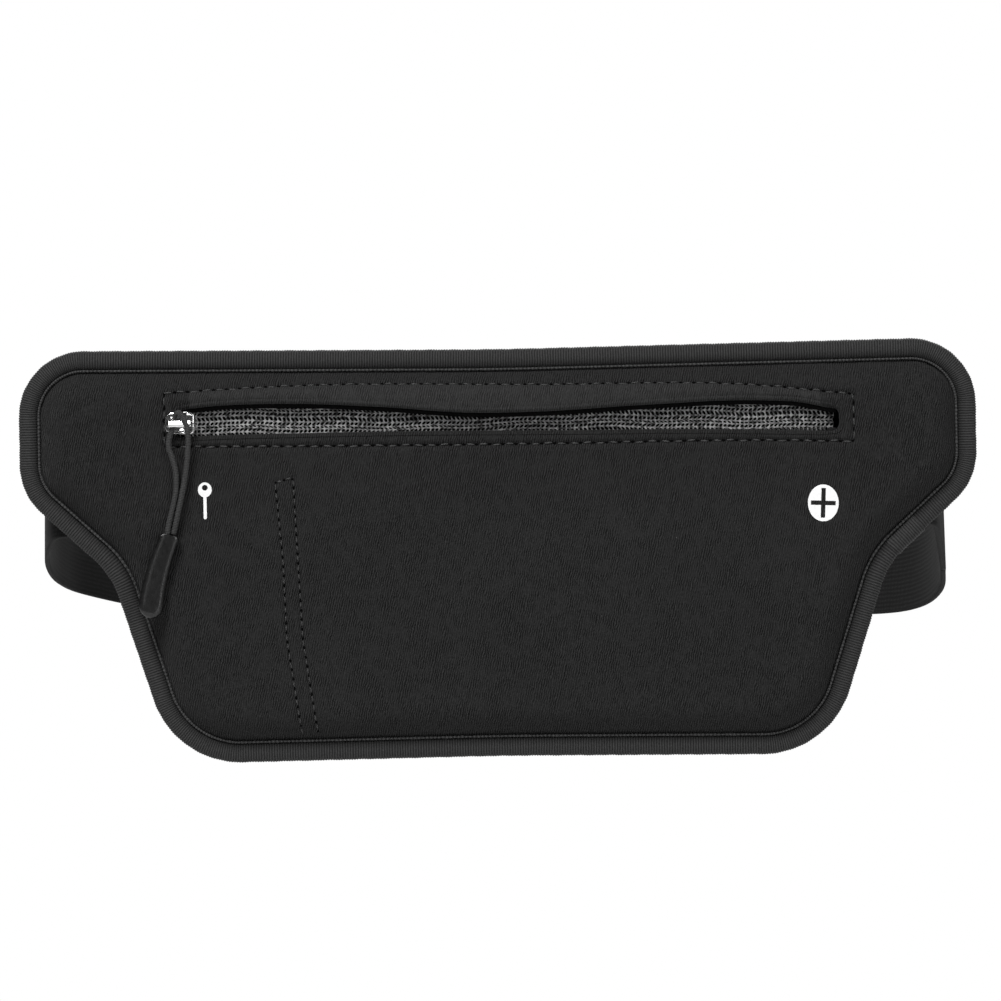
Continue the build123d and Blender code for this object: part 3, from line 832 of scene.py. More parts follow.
def folded_strip(name, edge, seam, stand, sink, cloth):
    """Cloth from a stitched seam to a fold, and back under itself. edge and seam are lines of
    places on the front, stand is how far the fold is lifted, and sink pushes the strip back."""
    edge = np.array(edge, float)
    seam = np.array(seam, float)
    count = len(edge) - 1
    around = front_steps + fold_steps + back_steps
    reach = seam - edge
    width = np.linalg.norm(reach, axis=1)
    reach = reach / width[:, None]

    def place(u, v):
        k = np.round(u * count).astype(int)
        step = np.round(v * around).astype(int) % around
        share = np.clip(step / front_steps, 0, 1)
        turned = np.clip((step - front_steps) / fold_steps, 0, 1)
        behind = np.clip((step - front_steps - fold_steps) / back_steps, 0, 1)
        q = fold_width + (width[k] - fold_width) * (1 - share)
        depth = -0.3 * np.sin(math.pi * share) ** 0.7 + fold_rise * share ** 6
        rolled = fold_width * (0.5 + 0.5 * np.cos(math.pi * turned))
        rounded = fold_rise - 0.42 * np.sin(math.pi * turned ** 0.75) + lip_thickness * turned ** 2.2
        q = np.where(step > front_steps, rolled, q)
        depth = np.where(step > front_steps, rounded, depth)
        q = np.where(behind > 0, width[k] * behind, q)
        depth = np.where(behind > 0, lip_thickness + 0.1, depth)
        x = edge[k, 0] + reach[k, 0] * q
        z = edge[k, 1] + reach[k, 1] * q
        lift = stand[k] * np.clip(1 - q / np.maximum(width[k], 1e-6), 0, 1) ** 1.5
        return metres(x, front_depth(x, z) + depth - lift + sink[k], z)

    piece = wrapped_grid(name, count, around, place, (1, 1), 1e-7)
    close_ends(piece)
    piece.data.materials.append(cloth)
    return piece


def slot_top(x):
    return smooth_line(slot_upper, x)


def slot_bottom(x):
    return smooth_line(slot_lower, x)


def row_of(x, height):
    """Places along a line that a function gives the height of."""
    return np.column_stack([x, height(x)])


lip_x = np.linspace(lip_left, lip_right, 250)
ends_down = 1.0 * (np.clip((lip_x - 90.5) / 4, 0, 1) + np.clip((-85.5 - lip_x) / 4, 0, 1))
proud = 0.7 + 0.7 * np.exp(-((lip_x - 2) / 40) ** 2)
upper_fold, upper_seam = row_of(lip_x, slot_top), row_of(lip_x, zip_stitch_top)
lower_fold, lower_seam = row_of(lip_x, slot_bottom), row_of(lip_x, zip_stitch_bottom)
# The upper lip takes the lighter jersey: painted light, as it faces up into the key light.
lip_upper = folded_strip("zip_lip_upper", upper_fold, upper_seam, proud, ends_down, lit_lip_jersey)
lip_lower = folded_strip("zip_lip_lower", lower_fold, lower_seam, 0 * lip_x, ends_down + 0.05, jersey)
for piece, half, seam_z, edge_z in ((lip_upper, "upper", 46.0, 42.8), (lip_lower, "lower", 31.0, 33.2)):
    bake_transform(piece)
    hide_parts("zip_tape_" + half)

# Ends of the window: the same turned edge carried round each end of the slot, over the ends
# of the lips.
end_steps = 60
near_cut = np.minimum(np.arange(end_steps), np.arange(end_steps)[::-1])
tucked = 0.3 - 0.34 * np.clip(near_cut / 7, 0, 1)
standing = 0.7 * np.clip(1 - np.arange(end_steps) / 30, 0, 1)
window_ends = (("left", -84.5, -90.8, frame_left, 0.25), ("right", 89.5, 96.4, frame_right, 0))
for side, x_inner, x_tip, x_seam, sunk in window_ends:
    corners = [(x_inner, slot_top(x_inner)), (x_tip, slot_top(x_tip) + 0.1),
               (x_tip, slot_bottom(x_tip) - 0.1), (x_inner, slot_bottom(x_inner))]
    edge = rounded_path(corners, [0, 2.3, 2.3, 0], end_steps, closed=False)[0]
    corners = [(x_inner, zip_stitch_top(x_inner)), (x_seam, zip_stitch_top(x_seam)),
               (x_seam, zip_stitch_bottom(x_seam)), (x_inner, zip_stitch_bottom(x_inner))]
    seam = rounded_path(corners, [0, 0.3, 0.3, 0], end_steps, closed=False)[0]
    piece = folded_strip("zip_end_" + side, edge, seam, standing, tucked + sunk, jersey)
    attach(piece, "pouch")

# Coils: nylon wire wound in a close spiral and sewn behind each lip, with a crimped metal
# stop at the closing end.
coil_pitch = 1.25
wire_radius = 0.2


def coil_piece(half):
    low, high = (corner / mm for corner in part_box("zip_coil_" + half))
    middle = (low + high) / 2
    radius = (high.z - low.z) / 2 - wire_radius
    turns = int((high.x - low.x) / coil_pitch)
    count = turns * 10

    def place(u, v):
        angle = 2 * math.pi * turns * u
        around = 2 * math.pi * v
        ring = radius + wire_radius * np.cos(around)
        x = low.x + wire_radius + (high.x - low.x - 2 * wire_radius) * u + wire_radius * np.sin(around)
        return metres(x, middle.y + 0.8 * ring * np.cos(angle), middle.z + ring * np.sin(angle))

    piece = wrapped_grid("coil_wire_" + half, count, 6, place, (1, 1), 1e-7)
    close_ends(piece)
    return piece


nylon, tree = new_material("coil_nylon")
where = add(tree, "ShaderNodeTexCoord").outputs["Object"]
cloth = use_group(tree, cloth_group, {"Vector": where, "Fuzz Scale": 1800})
tone = tone_ramp(tree, cloth.outputs[1], 0.008, 0.016)
finish_surface(tree, {"Base Color": tone, "Roughness": 0.35}, cloth.outputs[1], 0.00003)
for half in ("upper", "lower"):
    piece = coil_piece(half)
    piece.data.materials.append(nylon)
    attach(piece, "zip_" + half)
    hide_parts("zip_coil_" + half)

# Zip tape: the edge of the thin black woven tape that the upper coil is sewn to, its top sewn in
# with the lip. It shows as a narrow band below the upper lip, coloured near black: the tape is real,
# but its band is also painted shadow for the shadow that the upper lip casts.
shadow_band = 1.2
tape_hidden = 2.2
tape_left = -90
tape_length = 185.5
tape_thickness = 0.12


def tape_place(u, v):
    x = tape_left + tape_length * u
    z = slot_top(x) - shadow_band + (shadow_band + tape_hidden) * v
    return metres(x, front_depth(x, slot_top(x) + 1) + lip_thickness + 0.04 + 0 * v, z)


tape = wrapped_grid("zip_tape_edge", 240, 4, tape_place)
facing_out(tape, (0, -1, 0))
give_thickness(tape, tape_thickness * mm)
tape_painted_shadow, tree = new_material("zip_tape_painted_shadow")
where = add(tree, "ShaderNodeTexCoord").outputs["Object"]
herringbone = add(tree, "ShaderNodeTexWave", {
    "Vector": where,
    "Scale": 500,
    "Distortion": 2,
}, bands_direction="DIAGONAL")
cloth = use_group(tree, cloth_group, {"Vector": where, "Fuzz Scale": 2500})
mixed = math_node(tree, "MULTIPLY", herringbone.outputs["Fac"], cloth.outputs[1])
# Painted shadow: the tape's tone is near black so that its band stands for the lip's shadow.
tone = tone_ramp(tree, mixed, 0.0015, 0.004, 0.1, 0.6)
finish_surface(tree, {"Base Color": tone, "Roughness": 0.9, "Specular IOR Level": 0.05}, mixed, 0.0001)
tape.data.materials.append(tape_painted_shadow)
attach(tape, "zip_upper")

# Slider: die-cast and nickel plated. A shield-shaped plate in front and one behind, joined by
# a post, with a raised crown that the puller's cord is looped through.
worn_group, worn_in, worn_out = new_group(
    "plating_wear",
    [("Vector", "NodeSocketVector")],
    [("Scratches", "NodeSocketFloat"), ("Patina", "NodeSocketFloat")],
)
drawn = add(worn_group, "ShaderNodeMapping", {"Vector": worn_in.outputs[0], "Scale": (0.3, 1, 2.2)})
scratch = add(worn_group, "ShaderNodeTexNoise", {
    "Vector": drawn.outputs[0],
    "Scale": 1500,
    "Detail": 6,
    "Roughness": 0.7,
})
patina = add(worn_group, "ShaderNodeTexNoise", {"Vector": worn_in.outputs[0], "Scale": 420, "Detail": 3})
worn_group.links.new(scratch.outputs["Fac"], worn_out.inputs[0])
worn_group.links.new(patina.outputs["Fac"], worn_out.inputs[1])


def metal_material(name, level, rough_low, rough_high):
    material, tree = new_material(name)
    where = add(tree, "ShaderNodeTexCoord").outputs["Object"]
    wear = use_group(tree, worn_group, {"Vector": where})
    tone = tone_ramp(tree, wear.outputs[1], level * 0.82, level)
    rough = tone_ramp(tree, wear.outputs[0], rough_low, rough_high)
    surface = {"Base Color": tone, "Metallic": 1.0, "Roughness": rough}
    finish_surface(tree, surface, wear.outputs[0], 0.00002, 0.5)
    return material


nickel = metal_material("nickel_plate", 0.9, 0.1, 0.24)
# Nickel coloured near black: painted shade, for stops that sit in shadow behind the lips and would otherwise
# glint.
nickel_painted_shade = metal_material("nickel_painted_shade", 0.02, 0.4, 0.55)
spring_steel = metal_material("spring_steel", 0.55, 0.2, 0.35)
plate_low, plate_high = (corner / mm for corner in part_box("slider_body"))
slider_x = (plate_low.x + plate_high.x) / 2
slider_z = (plate_low.z + plate_high.z) / 2
half_length = (plate_high.x - plate_low.x) / 2
half_height = (plate_high.z - plate_low.z) / 2


def plate_ring(shrink, right=0.0, steps=48):
    """Outline of a slider plate seen from the front, broad at the right where the coils part,
    drawn in all round and by some more at the right."""
    ring = []
    for k in range(steps):
        angle = 2 * math.pi * k / steps
        c, s = math.cos(angle), math.sin(angle)
        x = (half_length - shrink - (right if c > 0 else 0)) * math.copysign(abs(c) ** 0.45, c)
        taper = 1 - 0.10 * (1 - x / half_length)
        z = (half_height - shrink) * taper * math.copysign(abs(s) ** 0.5, s)
        ring.append((slider_x + x, slider_z + z))
    return ring


def stacked_rings(form, rings):
    """Closed solid through rings of equal count, each (y, points)."""
    edges = []
    for y, ring in rings:
        verts = [form.verts.new(Vector((x, y, z)) * mm) for x, z in ring]
        edges.append([form.edges.new((a, b)) for a, b in zip(verts, verts[1:] + verts[:1])])
    for lower, upper in zip(edges, edges[1:]):
        bmesh.ops.bridge_loops(form, edges=lower + upper)
    for ring in (edges[0], edges[-1]):
        bmesh.ops.contextual_create(form, geom=ring)


slider = bmesh.new()
plate_t = 0.9
y_front = plate_low.y
y_back = plate_high.y
stacked_rings(slider, [
    (y_front, plate_ring(0.14, 0.4)),
    (y_front + 0.12, plate_ring(0.02, 0.12)),
    (y_front + 0.4, plate_ring(0)),
    (y_front + plate_t, plate_ring(0.05)),
])
stacked_rings(slider, [
    (y_back, plate_ring(0.4)),
    (y_back - 0.3, plate_ring(0.05)),
    (y_back - plate_t, plate_ring(0.05)),
])


def rounded_bar(form, across, depth, height, bevel, segments=3):
    """Bar with its edges rounded, between two values of x, y and z, added to a form."""
    (x0, x1), (y0, y1), (z0, z1) = across, depth, height
    made = bmesh.ops.create_cube(form, size=1)["verts"]
    scale = Vector((x1 - x0, y1 - y0, z1 - z0)) * mm
    middle = Vector((x0 + x1, y0 + y1, z0 + z1)) * mm / 2
    bmesh.ops.scale(form, verts=made, vec=scale)
    bmesh.ops.translate(form, verts=made, vec=middle)
    edges = list({edge for vert in made for edge in vert.link_edges})
    bmesh.ops.bevel(
        form, geom=edges, offset=bevel * mm, segments=segments, profile=0.5, affect="EDGES", material=-1,
    )


right = plate_high.x
post_depth = (y_front + plate_t - 0.1, y_back - plate_t + 0.1)
rounded_bar(slider, (right - 0.5 - 2.4, right - 0.5), post_depth, (slider_z - 1.1, slider_z + 1.1), 0.3)
flange_depth = (y_front + plate_t - 0.2, y_front + plate_t + 1.0)
for side in (-1, 1):
    z = slider_z + side * (half_height * 0.9 - 0.35)
    rounded_bar(slider, (plate_low.x + 1.4, right - 1.0), flange_depth, (z - 0.35, z + 0.35), 0.2)
rim_depth = (y_front - 0.5, y_front + 0.2)
rounded_bar(slider, (right - 2.5, right - 0.35), rim_depth, (slider_z + 2.05, slider_z + 2.65), 0.26, 4)
rounded_bar(slider, (right - 0.95, right - 0.3), rim_depth, (slider_z - 2.5, slider_z + 2.6), 0.3, 4)
before = set(slider.verts)
wedge_across = (slider_x - 0.3, slider_x + 1.2)
wedge_depth = (y_front - 0.25, y_front + 0.5)
rounded_bar(slider, wedge_across, wedge_depth, (slider_z - 3.2, slider_z - 1.2), 0.12)
wedge = [vert for vert in slider.verts if vert not in before]
wedge_middle = Vector((slider_x + 0.45, y_front, slider_z - 2.2)) * mm
for lean, axis in ((-21, "X"), (-9, "Z")):
    turn = Matrix.Rotation(math.radians(lean), 3, axis)
    bmesh.ops.rotate(slider, verts=wedge, cent=wedge_middle, matrix=turn)
bmesh.ops.recalc_face_normals(slider, faces=slider.faces)
for face in slider.faces:
    face.smooth = len(face.verts) == 4
slider_body = finished("slider_plates", slider)
slider_body.data.materials.append(nickel)
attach(slider_body, "slider")
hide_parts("slider_body")

crown_low, crown_high = (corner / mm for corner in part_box("slider_crown"))
crown_section = [
    (-1.0, -0.15), (-0.9, -0.3), (0.55, -0.35), (0.66, -0.2), (0.7, -0.05), (0.64, 0.03), (-0.2, 0.4),
    (-0.26, 0.41), (-0.28, 0.12), (-0.38, 0.12), (-0.4, 0.32), (-0.46, 0.33), (-0.94, -0.02), (-1.0, -0.08),
]
bail_section = [
    (-0.45, -0.25), (0.45, -0.25), (0.5, 0), (0.46, 0.2), (0.38, 0.24), (-0.38, 0.24), (-0.46, 0.2),
    (-0.5, 0),
]


def strap_of_metal(name, path, section, flare):
    """A bar with the given section along a path of points, its section widened by a function."""
    path = np.array(path, float)
    count = len(path) - 1
    ways = np.gradient(path, axis=0)
    ways /= np.linalg.norm(ways, axis=1)[:, None]
    across = np.array((0, 0, 1.0))
    sides = np.cross(ways, across)
    sides /= np.linalg.norm(sides, axis=1)[:, None]
    widths = np.cross(sides, ways)
    section = np.array(section, float)

    def place(u, v):
        k = np.round(u * count).astype(int)
        j = np.round(v * len(section)).astype(int) % len(section)
        widened = widths[k] * (section[j, 0] * flare(u))[:, None]
        return (path[k] + widened + sides[k] * section[j, 1][:, None]) * mm

    piece = wrapped_grid(name, count, len(section), place, (1, 1), 1e-7)
    close_ends(piece)
    return piece


crown_steps = 40
crown_path = []
for step in range(crown_steps + 1):
    t = step / crown_steps
    bulge = math.sin(math.pi * t)
    x = crown_low.x + 0.2 + (crown_high.x - crown_low.x - 0.4) * t
    y = crown_high.y - (crown_high.y - crown_low.y - 0.5) * min(1, 2.0 * bulge ** 0.5)
    crown_path.append((x, y, slider_z - 0.1))
crown = strap_of_metal("slider_bridge", crown_path, crown_section, lambda u: 1.0 + 0 * u)
for face in crown.data.polygons:
    face.use_smooth = False
crown.data.materials.append(nickel)
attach(crown, "slider")
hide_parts("slider_crown")
bail_steps = 32
bail_radius = 2.6
bail_path = []
for step in range(bail_steps + 1):
    angle = math.radians(166 - 84 * step / bail_steps)
    x = slider_x + 0.3 + bail_radius * math.cos(angle)
    z = slider_z + 0.4 + bail_radius * math.sin(angle)
    bail_path.append((x, crown_low.y + 1.6 + 0.5 * step / bail_steps, z))
bail = strap_of_metal("slider_bail", bail_path, bail_section, lambda u: 1.15 - 0.6 * u)
for vert in bail.data.vertices:
    vert.co.y += 0.43 * (vert.co.z - slider_z * mm) - 0.17 * (vert.co.x - slider_x * mm) - 0.9 * mm
bail.data.materials.append(nickel)
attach(bail, "slider")


def give_finish(node, material):
    """Puts a material on a piece that keeps its shape from the frame."""
    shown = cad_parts[node]
    shown.data.materials.clear()
    shown.data.materials.append(material)


give_finish("slider_lock_spring", spring_steel)
# The stops take the near-black nickel: painted shade behind the lips.
for stop in ("zip_top_stop_upper", "zip_top_stop_lower", "zip_bottom_stop"):
    give_finish(stop, nickel_painted_shade)

# Puller cord: thin limp braid looped under the crown, both ends held in the grip. Its points
# are the same as in the part's source.
cord_width = 1.5
cord_points = [
    (-91.7, -13.5, 6.45), (-90.6, -13.8, 11.2), (-89.4, -14.0, 16.4), (-88.2, -13.9, 22.0),
    (-87.5, -13.9, 27.0), (-87.1, -14.4, 31.5), (-87.0, -15.45, 35.0), (-87.9, -16.05, 38.6),
    (-89.5, -14.85, 40.9), (-91.0, -13.1, 39.8), (-91.2, -12.9, 36.8), (-92.5, -12.9, 33.8),
    (-92.9, -13.0, 31.0), (-91.7, -13.4, 27.8), (-90.7, -13.2, 23.8),
    (-90.7, -13.2, 18.8), (-91.6, -13.2, 14.4), (-92.8, -13.5, 10.2), (-93.5, -13.5, 6.45),
]


def smooth_route(name, points):
    """Points of the smooth line that a cord's control points make."""
    curve = bpy.data.curves.new(name, "CURVE")
    curve.dimensions = "3D"
    curve.resolution_u = 24
    spline = curve.splines.new("NURBS")
    spline.points.add(len(points) - 1)
    for point, (x, y, z) in zip(spline.points, points):
        point.co = (x * mm, y * mm, z * mm, 1)
    spline.order_u = 3
    spline.use_endpoint_u = True
    guide = bpy.data.objects.new(name, curve)
    scene.collection.objects.link(guide)
    bpy.context.view_layer.update()
    line = bpy.data.meshes.new_from_object(guide)
    places = [vert.co.copy() for vert in line.vertices]
    bpy.data.objects.remove(guide)
    return places


route = smooth_route("cord_line", cord_points)


def along_route(line, share):
    """Places at shares of a line's length."""
    line = np.array(line)
    steps = np.linalg.norm(np.diff(line, axis=0), axis=1)
    reached = np.concatenate([[0], np.cumsum(steps)]) / steps.sum()
    return np.column_stack([np.interp(share, reached, line[:, axis]) for axis in range(3)])


def braided_tube(name, line, radius, rounds, ridge_pitch):
    """Tube along a line with the crossed strands of a braid raised on it."""
    length = sum((Vector(b) - Vector(a)).length for a, b in zip(line, line[1:]))
    count = int(length / (ridge_pitch / 8))
    centre = along_route(line, np.linspace(0, 1, count + 1))
    ways = np.gradient(centre, axis=0)
    ways /= np.linalg.norm(ways, axis=1)[:, None]
    side = np.zeros_like(centre)
    last = np.array((0, -1.0, 0))
    for k, way in enumerate(ways):
        last = last - way * (last @ way)
        last /= np.linalg.norm(last)
        side[k] = last
    other = np.cross(ways, side)

    def place(u, v):
        k = np.round(u * count).astype(int)
        angle = 2 * math.pi * (np.round(v * rounds) % rounds) / rounds
        run = u * length / ridge_pitch * 2 * math.pi
        strands = np.cos(run + 3 * angle) * np.cos(run - 3 * angle)
        wide = radius * (1 + 0.12 * strands)
        sideways = side[k] * (wide * np.cos(angle))[:, None]
        return centre[k] + sideways + other[k] * (wide * np.sin(angle))[:, None]

    piece = wrapped_grid(name, count, rounds, place, (length, 2 * math.pi * radius), 1e-7)
    close_ends(piece)
    return piece


braid_ridge = 0.9
cord = braided_tube("puller_cord", route, cord_width * mm / 2, 18, braid_ridge * mm)
braid = elastic_material("cord_braid", 0.002, 0.06, 0.5, 0.45)
cord.data.materials.append(braid)
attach(cord, "pull")
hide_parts("pull_cord")

# Grip: soft rubber moulded over the cord's ends, flared to a rounded end, with a dished face,
# a bevel down its right edge and a raised collar at the mouth.
grip_top = np.array((-92.6, 6.1))
grip_end = np.array((-98.9, -17.2))
grip_low, grip_high = (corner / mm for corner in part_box("pull_grip"))
grip_y = (grip_low.y + grip_high.y) / 2
grip_steps = 72
grip_rounds = 48


def grip_place(u, v):
    way = grip_end - grip_top
    length = np.linalg.norm(way)
    way = way / length
    across = np.array((-way[1], way[0]))
    angle = 2 * math.pi * (np.round(v * grip_rounds) % grip_rounds) / grip_rounds
    s = length * (1 - np.cos(math.pi * u)) / 2
    bow = -0.9 * np.sin(math.pi * s / length)
    half = 2.8 + 0.95 * s / length
    tip = np.clip((length - s) / 4.2, 0, 1)
    half = half * np.sqrt(1 - (1 - tip) ** 2) + 1e-3
    mouth = np.clip(s / 0.7, 0, 1)
    half = half * (0.8 + 0.2 * np.sqrt(1 - (1 - mouth) ** 2))
    half = half + 0.12 * np.exp(-((s - 1.0) / 0.5) ** 2)
    thick = 2.0 * np.sqrt(1 - (1 - np.clip((length - s) / 2.0, 0, 1)) ** 2) * (0.8 + 0.2 * mouth) + 1e-3
    c, w = np.cos(angle), np.sin(angle)
    a = half * np.sign(c) * np.abs(c) ** 0.55
    b = thick * np.sign(w) * np.abs(w) ** 0.55
    dish = 0.4 * np.exp(-(a / (0.62 * half)) ** 6) * (np.abs(w) > 0.5) * mouth * tip
    bevel = 0.5 * np.clip(a / half / 0.5 - 0.9, 0, 1.1) * (w < -0.02) * mouth
    b = b - np.sign(w) * dish + bevel
    spot = grip_top[None, :] + way * s[:, None] + across * (a + bow)[:, None]
    return metres(spot[:, 0], grip_y + b, spot[:, 1])


grip = wrapped_grid("puller_grip", grip_steps, grip_rounds, grip_place, (0.024, 0.018), 1e-6)
close_ends(grip)
rubber, tree = new_material("grip_rubber")
where = add(tree, "ShaderNodeTexCoord").outputs["Object"]
grain = add(tree, "ShaderNodeTexVoronoi", {"Vector": where, "Scale": 2200})
dust = use_group(tree, cloth_group, {"Vector": where, "Fuzz Scale": 900})
tone = tone_ramp(tree, dust.outputs[1], 0.004, 0.009)
rough = tone_ramp(tree, dust.outputs[0], 0.24, 0.34)
finish_surface(tree, {"Base Color": tone, "Roughness": rough}, grain.outputs["Distance"], 0.00004, 0.6)
grip.data.materials.append(rubber)
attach(grip, "grip")
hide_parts("pull_grip")

# Key mark and earphone port: white heat-sealed film on the cloth. The port is an oval with a
# plus-shaped slit that a lead is pushed through.
film_t = 0.16


def film_piece(name, shapes, holes):
    """Film cut to rings of points, laid on the front's face."""
    form = bmesh.new()
    outer = [form.verts.new((x, 0, z)) for x, z in shapes]
    edges = [form.edges.new((a, b)) for a, b in zip(outer, outer[1:] + outer[:1])]
    for hole in holes:
        inner = [form.verts.new((x, 0, z)) for x, z in hole]
        edges += [form.edges.new((a, b)) for a, b in zip(inner, inner[1:] + inner[:1])]
    bmesh.ops.triangle_fill(form, use_beauty=True, use_dissolve=False, edges=edges)
    bmesh.ops.subdivide_edges(form, edges=form.edges[:], cuts=2, use_grid_fill=True)
    x = np.array([v.co.x for v in form.verts])
    z = np.array([v.co.z for v in form.verts])
    y = front_depth(x, z) - film_t
    for vert, depth in zip(form.verts, y):
        vert.co = Vector((vert.co.x, depth, vert.co.z)) * mm
    piece = finished(name, form)
    facing_out(piece, (0, -1, 0))
    give_thickness(piece, film_t * mm)
    soft = piece.modifiers.new("soft_edge", "BEVEL")
    soft.width = 0.04 * mm
    soft.segments = 2
    soft.limit_method = "ANGLE"
    return piece


def round_ring(x, z, rx, rz, steps, start=0.0, turn=2 * math.pi):
    """Points round an oval, or part of the way round."""
    angles = [start + turn * k / steps for k in range(steps)]
    return [(x + rx * math.cos(angle), z + rz * math.sin(angle)) for angle in angles]


key_low, key_high = (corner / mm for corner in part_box("key_mark"))
key_x = (key_low.x + key_high.x) / 2
key_r = (key_high.x - key_low.x) / 2
key_z = key_high.z - key_r
shank_half = 0.46
shank_top = math.asin(shank_half / key_r)
bow_start = -math.pi / 2 + shank_top
bow_turn = 2 * math.pi - 2 * shank_top
key_ring = round_ring(key_x, key_z, key_r * 0.93, key_r, 40, bow_start, bow_turn)
key_ring += [(key_x - shank_half, key_z - key_r + 0.05), (key_x - shank_half, key_low.z + 0.8)]
key_ring += round_ring(key_x, key_low.z + 0.7, shank_half, 0.5, 8, math.pi, math.pi)
key_ring += [(key_x + shank_half, key_low.z + 0.8)]
key_mark = film_piece("key_film", key_ring, [round_ring(key_x, key_z + 0.6, 0.82, 0.82, 18)])
port_low, port_high = (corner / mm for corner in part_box("earphone_patch"))
port_x = (port_low.x + port_high.x) / 2
port_z = (port_low.z + port_high.z) / 2
slit = 0.62
slit_up = 4.2
slit_across = 3.5
corner = [(slit_across, slit), (slit, slit), (slit, slit_up)]
plus = corner[1:] + [(-x, z) for x, z in corner[::-1]] + [(-x, -z) for x, z in corner]
plus += [(x, -z) for x, z in corner[::-1]] + corner[:1]
lean = math.radians(2.5)
c, s = math.cos(lean), math.sin(lean)
plus = [(port_x + x * c + z * s, port_z + z * c - x * s) for x, z in plus]
port_size = (port_high - port_low) / 2
port_oval = round_ring(port_x, port_z, port_size.x, port_size.z, 72)
port = film_piece("port_film", port_oval, [plus])
film, tree = new_material("white_film")
where = add(tree, "ShaderNodeTexCoord").outputs["Object"]
print_grain = use_group(tree, cloth_group, {"Vector": where, "Fuzz Scale": 1600})
tone = tone_ramp(tree, print_grain.outputs[1], 0.74, 0.82)
rough = tone_ramp(tree, print_grain.outputs[0], 0.35, 0.5)
finish_surface(tree, {"Base Color": tone, "Roughness": rough}, print_grain.outputs[1], 0.00002, 0.4)
for piece, node in ((key_mark, "key_mark"), (port, "earphone_patch")):
    piece.data.materials.append(film)
    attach(piece, "pouch")
    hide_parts(node)

# Stitching: black thread in short lockstitches, each sunk at both ends, round the zip window,
# down both sides of the divider and across the sewn ends of the belt.
stitch_radius = 0.27
stitch_share = 0.6
needle_radius = 0.34
needle_depth = 0.14
needle_share = 0.3


def stitches(name, line, pitch, depth_of, slack=0.0, needle=False):
    """A row of thread stitches along a line of places, or near-black blobs between them that paint the shade
    in the needle holes.
    """
    wide, deep, share = stitch_radius, stitch_radius, stitch_share
    if needle:
        wide, deep, share = needle_radius, needle_depth, needle_share
    line = np.array(line, float)
    steps = np.linalg.norm(np.diff(line, axis=0), axis=1)
    reached = np.concatenate([[0], np.cumsum(steps)])
    count = max(1, int(round(reached[-1] / pitch)))
    form = bmesh.new()
    for k in range(count):
        run = pitch * share
        start = reached[-1] * (k + 0.82) / count - run / 2 if needle else reached[-1] * k / count
        x0, x1 = np.interp((start, start + run), reached, line[:, 0])
        z0, z1 = np.interp((start, start + run), reached, line[:, 1])
        length = math.hypot(x1 - x0, z1 - z0)
        made = bmesh.ops.create_uvsphere(form, u_segments=8, v_segments=6, radius=1)["verts"]
        bmesh.ops.scale(form, verts=made, vec=(wide * mm, deep * mm, length / 2 * mm))
        lean = math.atan2(x1 - x0, z1 - z0) + 0.1 * math.sin(k * 1.7)
        bmesh.ops.rotate(form, verts=made, cent=(0, 0, 0), matrix=Matrix.Rotation(lean, 3, "Y"))
        middle_x = (x0 + x1) / 2
        middle_z = (z0 + z1) / 2 + slack * math.sin(k * 2.3)
        y = float(depth_of(np.array([middle_x]), np.array([middle_z]))[0])
        bmesh.ops.translate(form, verts=made, vec=Vector((middle_x, y, middle_z)) * mm)
    for face in form.faces:
        face.smooth = True
    bmesh.ops.recalc_face_normals(form, faces=form.faces)
    return finished(name, form)


thread, tree = new_material("sewing_thread")
where = add(tree, "ShaderNodeTexCoord").outputs["Object"]
twist = add(tree, "ShaderNodeTexWave", {
    "Vector": where,
    "Scale": 900,
    "Distortion": 1.5,
}, bands_direction="DIAGONAL")
tone = tone_ramp(tree, twist.outputs["Fac"], 0.01, 0.034)
finish_surface(tree, {"Base Color": tone, "Roughness": 0.5}, twist.outputs["Fac"], 0.00006)


def on_front(x, z):
    return front_depth(x, z) - 0.1


def in_front(x, z):
    """Y just in the cloth, from the places round a needle hole rather than from its bottom."""
    above_below = front_depth(x, z + 0.6) + front_depth(x, z - 0.6)
    beside = front_depth(x - 0.6, z) + front_depth(x + 0.6, z)
    return (above_below + beside) / 4 + 0.02


# Needle holes: painted shade. Flattened near-black blobs sit in the holes to darken them as their shadow
# would.
hole_shade, tree = new_material("needle_hole_painted_shade")
where = add(tree, "ShaderNodeTexCoord").outputs["Object"]
cloth = use_group(tree, cloth_group, {"Vector": where, "Fuzz Scale": 3000})
tone = tone_ramp(tree, cloth.outputs[1], 0.001, 0.003)
surface = {"Base Color": tone, "Roughness": 0.95, "Specular IOR Level": 0.02}
finish_surface(tree, surface, cloth.outputs[1], 0.0001)
for name, line, pitch in (("zip", frame_seam(), zip_pitch), ("divider", divider_seam, divider_pitch)):
    row = stitches(name + "_stitching", line, pitch, on_front, slack=0.16)
    row.data.materials.append(thread)
    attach(row, "pouch")
    row = stitches(name + "_needle_hole_painted_shades", line, pitch, in_front, needle=True)
    row.data.materials.append(hole_shade)
    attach(row, "pouch")

# Belt: soft elastic webbing sewn to the back of each wing. It bows out past the wing, turns
# round behind and hangs down towards the rear, where the buckle joins the two halves.
strap_width = 38.0
strap_thick = 1.6
strap_z = 25.0
strap_y = 1.5
belt_droop = math.radians(10.5)
belt_y = 150.0


